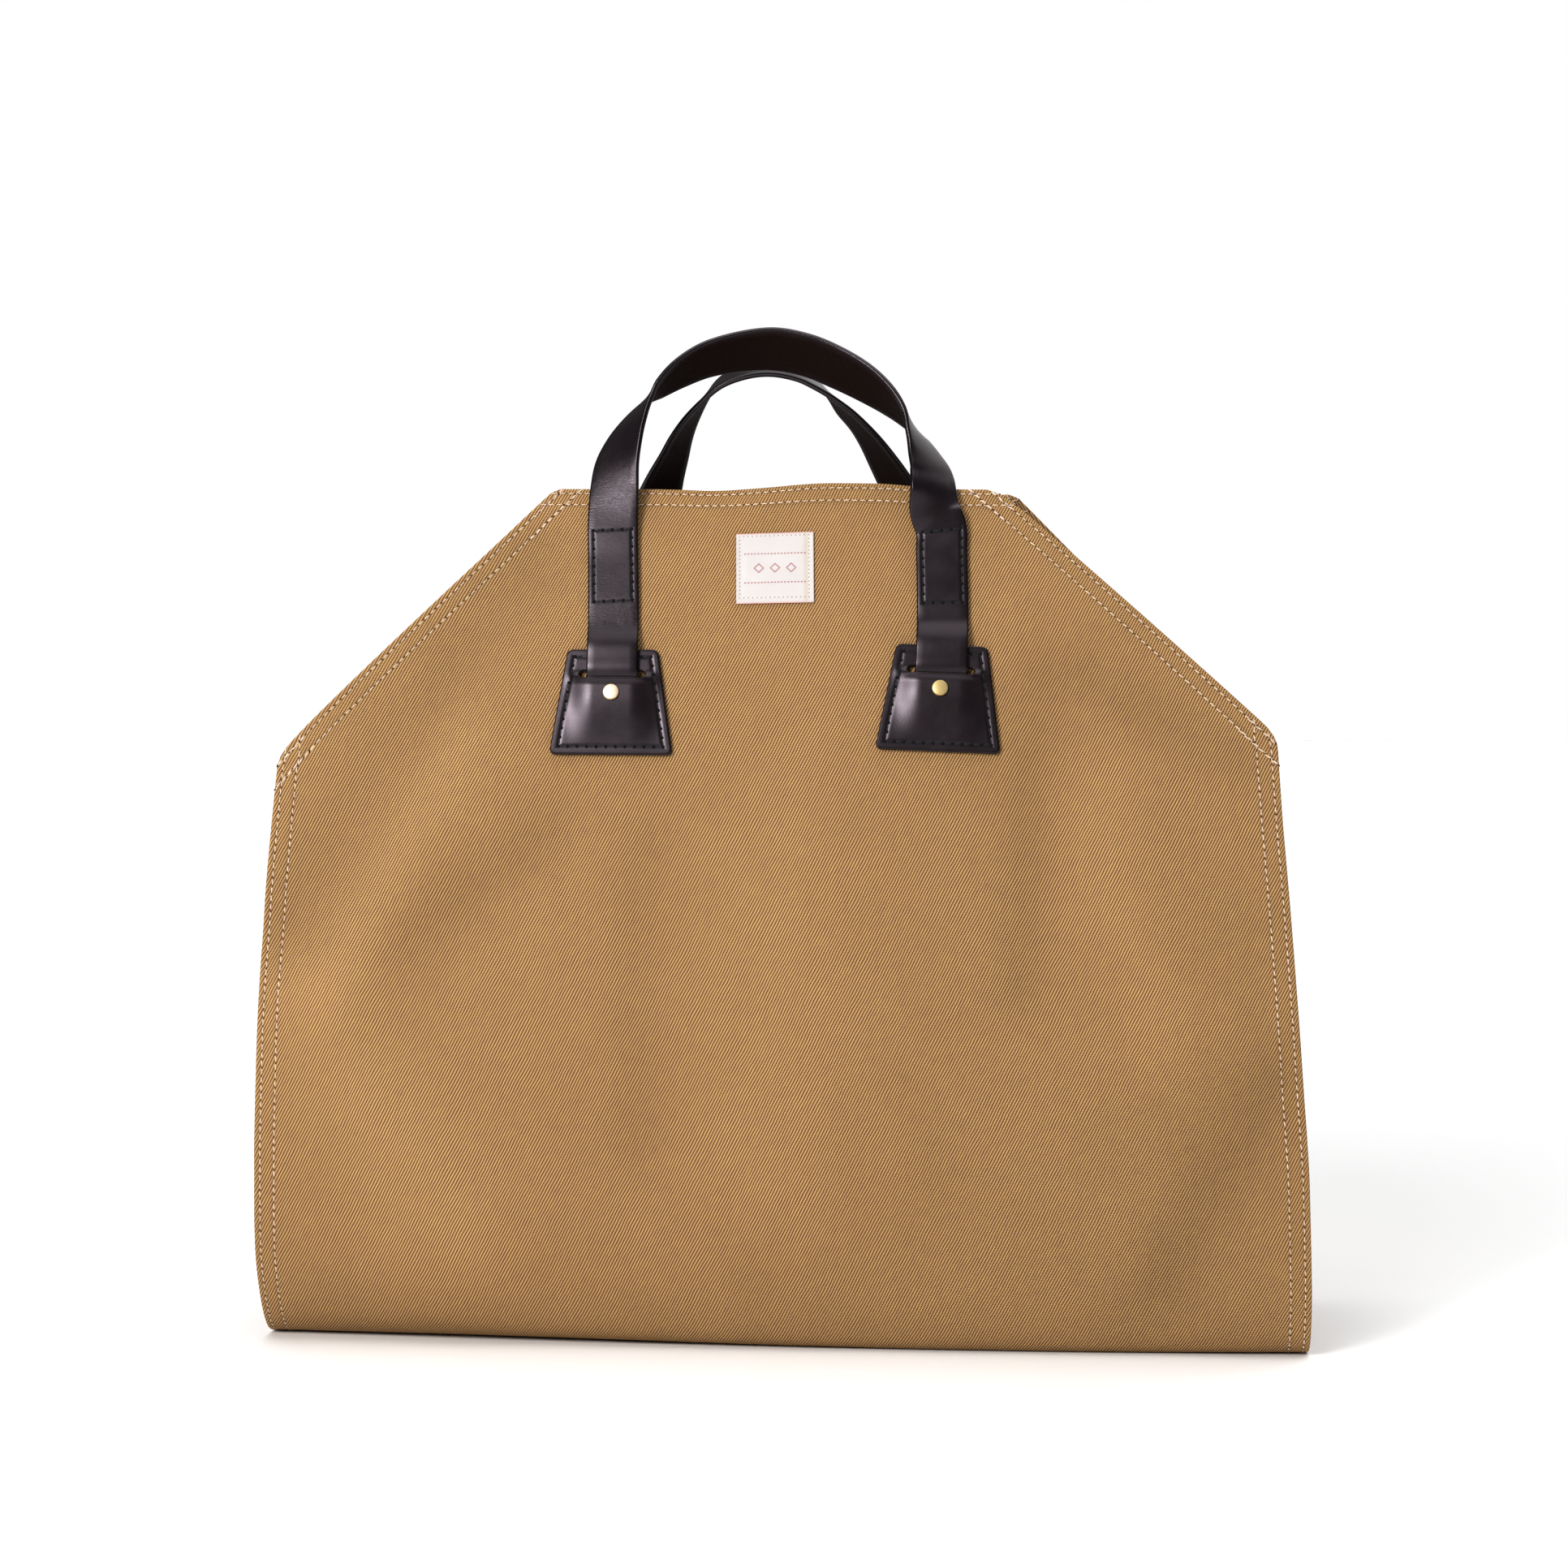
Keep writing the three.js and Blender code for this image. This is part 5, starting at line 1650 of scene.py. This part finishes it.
    def seams(self) -> list[SeamPath]:
        """The stitched border, open where the strap lies over the top margin."""
        inset = self.stitch_inset
        high, low = inset - self.half, self.half - inset
        upper, lower = (self._width(b) - inset * self.lean for b in (high, low))
        beside = self.lay.strap_width / 2 + self.beside_strap
        corners = [(-beside, high), (-upper, high), (-lower, low)]
        corners += [(-a, b) for a, b in reversed(corners)]
        runs = between(corners, self.lay.stitch_pitch)
        found = []
        for line in runs:
            a, b = line[:, 0], line[:, 1]
            x, s = self.lay.over(self.leg, a, b)
            up = self.lay.patch_lift(a, b) + self.lay.patch_thick - self.stitch_sink
            normals = self.lay.form.panel_normal(self.panel, x, s)
            found.append(SeamPath(self.lay.form.panel_point(self.panel, x, s, up), normals))
        return found


def between(corners: Sequence[tuple[float, float]], pitch: float) -> list[Array]:
    """Flat rows of points from corner to corner, half a stitch short at both ends."""
    rows = []
    for first, last in zip(corners[:-1], corners[1:]):
        low, high = np.array(first), np.array(last)
        short = pitch / 2 / np.linalg.norm(high - low)
        rows.append(low + (high - low) * np.linspace(short, 1 - short, 30)[:, None])
    return rows


def outward(piece: bpy.types.Object) -> bpy.types.Object:
    """Merges a closed mesh's doubles and turns its faces outwards."""
    work = bmesh.new()
    work.from_mesh(piece.data)
    bmesh.ops.remove_doubles(work, verts=work.verts, dist=1e-7)
    bmesh.ops.recalc_face_normals(work, faces=work.faces)
    if work.calc_volume(signed=True) < 0:
        bmesh.ops.reverse_faces(work, faces=work.faces)
    work.to_mesh(piece.data)
    work.free()
    return piece


@dataclass
class Rivet:
    """Cap, shank and washer of one rivet."""

    lay: LeatherLay
    panel: Panel
    side: Side
    wall: float = 1.3
    cap_radius: float = 4.7
    cap_height: float = 1.9
    shank_radius: float = 1.6
    washer_thick: float = 0.9
    sections: int = 48
    bite: float = 0.12
    sharp_angle: float = 50.0

    def _profile(self) -> Array:
        """Radius and height from the washer's outer end to the top of the cap."""
        lay = self.lay
        seat = 2 * lay.gap + lay.strap_thick + lay.patch_thick - self.bite
        washer = -self.wall - self.bite
        r, tall, thick = self.cap_radius, self.cap_height, self.washer_thick
        return np.array(
            [
                (0.0, washer - thick * 0.95),
                (r * 0.2, washer - thick * 0.6),
                (r * 0.3, washer - thick),
                (r * 0.85, washer - thick),
                (r * 0.92, washer - thick * 0.6),
                (r * 0.92, washer),
                (self.shank_radius, washer),
                (self.shank_radius, seat),
                (r * 0.97, seat),
                (r, seat + tall * 0.12),
                (r, seat + tall * 0.5),
                (r * 0.985, seat + tall * 0.68),
                (r * 0.95, seat + tall * 0.8),
                (r * 0.9, seat + tall * 0.87),
                (r * 0.84, seat + tall * 0.9),
                (r * 0.6, seat + tall * 0.95),
                (r * 0.3, seat + tall * 0.985),
                (0.0, seat + tall),
            ]
        )

    def build(self, material: bpy.types.Material) -> bpy.types.Object:
        """Makes the rivet as one closed lathed mesh."""
        leg = LEGS[self.panel, self.side]
        x, s = self.lay.over(leg, 0.0, self.lay.rivet_down)
        form = self.lay.form
        origin = form.panel_point(self.panel, x, s, 0.0)
        up = form.panel_normal(self.panel, x, s)
        across = unit(np.cross([0.0, 0.0, 1.0], up))
        other = np.cross(up, across)
        profile = self._profile()
        turn = np.linspace(0, math.tau, self.sections, endpoint=False)
        ring = np.cos(turn)[:, None] * across + np.sin(turn)[:, None] * other
        points = [origin + up * profile[0, 1]]
        rim = [0.0]
        for radius, height in profile[1:-1]:
            points += list(origin + up * height + ring * radius)
            rim += [float(np.clip((radius / self.cap_radius - 0.86) / 0.1, 0, 1))] * self.sections
        points.append(origin + up * profile[-1, 1])
        rim.append(0.0)
        n, rings = self.sections, len(profile) - 2
        faces = [(0, 1 + (k + 1) % n, 1 + k) for k in range(n)]
        for i in range(rings - 1):
            faces += ring_faces(range(1 + i * n, 1 + (i + 1) * n), range(1 + (i + 1) * n, 1 + (i + 2) * n))
        last = 1 + (rings - 1) * n
        faces += [(last + k, last + (k + 1) % n, last + n) for k in range(n)]
        name = f"rivet_brass_{self.panel.value}_{self.side.value}"
        piece = mesh_object(name, np.array(points), faces, material, None, {"rim": np.array(rim)})
        piece.data.set_sharp_from_angle(angle=math.radians(self.sharp_angle))
        return piece


@dataclass
class Label:
    """Woven label sewn to the front panel."""

    form: CanvasForm
    width: float = 45.5
    height: float = 44.0
    thick: float = 0.62
    drop: float = 29.5
    x: float = -4.0
    turn: float = 1.6
    gap: float = 0.25
    stitch_left: float = 2.0
    stitch_right: float = 2.9
    stitch_top: float = 1.7
    stitch_bottom: float = 3.7
    stitch_pitch: float = 2.4
    cells: int = 44

    def _flat(self, a: Array, b: Array) -> tuple[Array, Array]:
        """Flat place of a point of the label."""
        turn = math.radians(self.turn)
        s = self.drop + self.height / 2 - a * math.sin(turn) + b * math.cos(turn)
        return self.x + a * math.cos(turn) + b * math.sin(turn), s

    def _lift(self, a: Array, b: Array) -> Array:
        """Height of the under side: sewn down near the border, loose at the edge, a little full inside."""
        inset = np.minimum(self.width / 2 - np.abs(a), self.height / 2 - np.abs(b))
        ripple = 0.12 * np.sin(a / 4.1 + b / 7.3) + 0.1 * np.sin(b / 3.1 - a / 9.0)
        return self.gap + 0.5 * smooth(2.4, 0.0, inset) + (0.28 + ripple) * smooth(2.8, 7.0, inset)

    def build(self, material: bpy.types.Material) -> bpy.types.Object:
        """Makes the label as one closed mesh with thin soft edges."""
        n = self.cells + 1
        share = 0.5 * (1 - np.cos(np.linspace(0, math.pi, n))) * 0.35 + np.linspace(0, 1, n) * 0.65
        a, b = np.meshgrid((share - 0.5) * self.width, (share - 0.5) * self.height)
        inset = np.minimum(self.width / 2 - np.abs(a), self.height / 2 - np.abs(b))
        fade = 0.35 + 0.65 * smooth(0.0, 0.7, inset)
        x, s = self._flat(a, b)
        low = self._lift(a, b)
        middle = low + self.thick / 2
        top = self.form.panel_point(Panel.FRONT, x, s, middle + self.thick / 2 * fade)
        under = self.form.panel_point(Panel.FRONT, x, s, middle - self.thick / 2 * fade)
        points = np.vstack([top.reshape(-1, 3), under.reshape(-1, 3)])
        count = n * n
        faces = grid_faces(n, n, 0, flip=True) + grid_faces(n, n, count)
        border = grid_border(n, n)
        faces += ring_faces(border, [k + count for k in border])
        flat = np.stack([a, b], axis=-1).reshape(-1, 2)
        piece = mesh_object("label_cloth", points, faces, material, np.vstack([flat, flat]) * MILLIMETRE)
        return outward(piece)

    def seams(self) -> list[SeamPath]:
        """The fine stitched border."""
        found = []
        left, right = self.stitch_left - self.width / 2, self.width / 2 - self.stitch_right
        top, bottom = self.stitch_top - self.height / 2, self.height / 2 - self.stitch_bottom
        corners = [(left, top), (right, top), (right, bottom), (left, bottom), (left, top)]
        for row in between(corners, self.stitch_pitch):
            a, b = row[:, 0], row[:, 1]
            x, s = self._flat(a, b)
            up = self._lift(a, b) + self.thick
            points = self.form.panel_point(Panel.FRONT, x, s, up)
            found.append(SeamPath(points, self.form.panel_normal(Panel.FRONT, x, s)))
        return found


# The studio


@dataclass(frozen=True)
class Glow:
    """Soft light from far away: the way it comes from, its strength and its spread in degrees."""

    name: str
    way: tuple[float, float, float]
    strength: float
    softness: float


SKY = (
    Glow("key", (-0.44, -0.78, 0.47), 0.98, 26.0),
    Glow("overhead", (0.05, 0.05, 1.0), 2.45, 70.0),
    Glow("behind", (0.5, 0.8, 0.35), 0.8, 60.0),
)


@dataclass
class Studio:
    """Camera, floor and light."""

    camera_at: tuple[float, float, float] = (0.125443, -1.828533, 0.373418)
    aim: tuple[float, float, float] = (0.00446, -0.0991, 0.32802)
    lens: float = 69.7
    sensor: float = 36.0
    ambient: float = 0.12
    contrast: float = 0.85
    box_at: tuple[float, float, float] = (-1.05, -1.85, 1.2)
    box_size: float = 0.7
    box_power: float = 31.0
    floor_tone: float = 0.93
    floor_reach: float = 30000.0
    floor_drop: float = 0.3

    def build(self) -> None:
        """Makes the whole set."""
        self._camera()
        self._floor()
        self._light()
        view = bpy.context.scene.view_settings
        view.view_transform = "Standard"
        view.look = "None"
        view.gamma = self.contrast

    def _camera(self) -> None:
        """Stands the camera where the photograph was taken from."""
        data = bpy.data.cameras.new("camera")
        data.lens, data.sensor_width = self.lens, self.sensor
        data.clip_start, data.clip_end = 0.05, 100.0
        camera = placed("camera", data)
        camera.location = self.camera_at
        way = Vector(self.aim) - Vector(self.camera_at)
        camera.rotation_mode = "QUATERNION"
        camera.rotation_quaternion = way.to_track_quat("-Z", "Y")
        bpy.context.scene.camera = camera

    def _floor(self) -> None:
        """Lays a plain white floor."""
        b = Bench("studio floor")
        tone = (self.floor_tone,) * 3
        material = b.finish({"Base Color": tone, "Roughness": 0.9, "Specular IOR Level": 0.1})
        turns = ((-1, -1), (1, -1), (1, 1), (-1, 1))
        corners = np.array([(x * self.floor_reach, y * self.floor_reach, -self.floor_drop) for x, y in turns])
        floor = mesh_object("studio_floor", corners, [(0, 1, 2, 3)], material)

    def _light(self) -> None:
        """Lights the set from all round, and softly from the upper left."""
        world = bpy.data.worlds.new("studio")
        world.use_nodes = True
        tree = world.node_tree
        tree.nodes.clear()
        white = (1.0, 1.0, 1.0)
        seen, glow = (
            add_node(tree, "ShaderNodeBackground", None, {"Color": white, "Strength": strength}).outputs[0]
            for strength in (1.0, self.ambient)
        )
        camera = add_node(tree, "ShaderNodeLightPath").outputs["Is Camera Ray"]
        mix = add_node(tree, "ShaderNodeMixShader", None, {0: camera, 1: glow, 2: seen})
        add_node(tree, "ShaderNodeOutputWorld", None, {"Surface": mix.outputs[0]})
        bpy.context.scene.world = world
        for lamp in SKY:
            sun = bpy.data.lights.new(lamp.name, "SUN")
            sun.energy, sun.angle = lamp.strength, math.radians(lamp.softness)
            self._hang(sun, Vector((0, 0, 3)), Vector(lamp.way))
        box = bpy.data.lights.new("softbox", "AREA")
        box.shape, box.size, box.energy = "SQUARE", self.box_size, self.box_power
        self._hang(box, Vector(self.box_at), Vector(self.box_at) - Vector((0, 0, 0.35)))

    @staticmethod
    def _hang(light: bpy.types.Light, place: Vector, back: Vector) -> None:
        """Hangs a light that shines away from its back."""
        lamp = placed(light.name, light)
        lamp.location = place
        lamp.rotation_mode = "QUATERNION"
        lamp.rotation_quaternion = back.to_track_quat("Z", "Y")


def settle(
    piece: bpy.types.Object, nodes: Sequence[str] = ()
) -> bpy.types.Object:
    """Ties a piece to the frame and reports it.

    Args:
        piece: The finished piece.
        nodes: CAD nodes that it stands for.

    Returns:
        The piece.
    """
    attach(piece, "root")
    if nodes:
        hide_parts(*nodes)
    piece.data.calc_loop_triangles()
    log.info("%s: %d triangles", piece.name, len(piece.data.loop_triangles))
    return piece


def stitch_sizes(
    pitch: float, stitch: float, thread: float, rise: float, slant: float, hole: float
) -> dict[str, float]:
    """The stitch tree's inputs, from millimetres, with the slant in radians."""
    lengths = {"Pitch": pitch, "Stitch": stitch, "Thread": thread, "Rise": rise, "Hole": hole}
    return {**{name: value * MILLIMETRE for name, value in lengths.items()}, "Slant": slant}


def main() -> None:
    """Builds the set and the carrier's pieces in order."""
    logging.basicConfig(level=logging.INFO, format="%(name)s: %(message)s")
    Studio().build()
    form = CanvasForm()
    lay = LeatherLay(form)
    tree = StitchTree()
    leather = LeatherFinish()
    cream = ThreadFinish("cream thread", (0.86, 0.74, 0.64), (0.56, 0.43, 0.32)).material()
    black = ThreadFinish("black thread", (0.012, 0.011, 0.012), (0.003, 0.003, 0.003), 0.6).material()
    white = ThreadFinish("white thread", (0.84, 0.80, 0.74), (0.66, 0.58, 0.50)).material()
    # Needle holes: dark materials painted as the shade inside each hole.
    canvas_hole_shade = ThreadFinish("canvas needle hole shade", (0.10, 0.05, 0.02), (0.05, 0.022, 0.008), 0.9).material()
    leather_hole_shade = ThreadFinish("leather needle hole shade", (0.002, 0.002, 0.002), (0.001, 0.001, 0.001), 0.9).material()
    label_hole_shade = ThreadFinish("label needle hole shade", (0.36, 0.25, 0.16), (0.24, 0.15, 0.09), 0.9).material()
    champagne = BrassFinish("pale rivet brass", (0.70, 0.57, 0.45), (0.50, 0.36, 0.17), 0.42, 0.5).material()
    antique = BrassFinish("aged rivet brass", (0.60, 0.46, 0.21), (0.30, 0.20, 0.08), 0.34, 0.6).material()

    sheet = CanvasSheet(form)
    cloth = settle(sheet.build(TwillFinish().material()), ["canvas_body"])
    hem = stitch_sizes(4.8, 3.3, 0.68, 0.7, 0.06, 0.5)
    sewn = [
        settle(tree.sew(name, sheet.seams(outside), (cream, canvas_hole_shade), {**hem, "Seed": seed}))
        for name, outside, seed in (("hem_stitches_outside", True, 3), ("hem_stitches_inside", False, 8))
    ]
    label = Label(form)
    tag = settle(label.build(LabelFinish().material()), ["label"])
    fine = stitch_sizes(label.stitch_pitch, 1.5, 0.3, 0.22, 0.0, 0.36)
    border = settle(tree.sew("label_stitches", label.seams(), (white, label_hole_shade), {**fine, "Seed": 5}))

    thick = stitch_sizes(lay.stitch_pitch, 4.6, 1.2, 0.3, 0.12, 1.15)
    for panel in Panel:
        handle = Handle(lay, panel)
        finish = leather.material(handle.groove, f"strap leather {panel.value}")
        settle(handle.build(finish), [f"handle_{panel.value}"])
        patches = [Patch(lay, panel, side) for side in Side]
        finish = leather.material(patches[0].groove, f"patch leather {panel.value}")
        for patch in patches:
            settle(patch.build(finish), [f"patch_{panel.value}_{patch.side.value}"])
            brass = champagne if patch.side is Side.LEFT else antique
            rivet = Rivet(lay, panel, patch.side)
            settle(rivet.build(brass), [f"rivet_{panel.value}_{patch.side.value}"])
        seams = handle.seams() + [seam for patch in patches for seam in patch.seams()]
        settle(tree.sew(f"leather_stitches_{panel.value}", seams, (black, leather_hole_shade), {**thick, "Seed": 11}))

    sheet.flat_area()


if __name__ == "__main__":
    main()
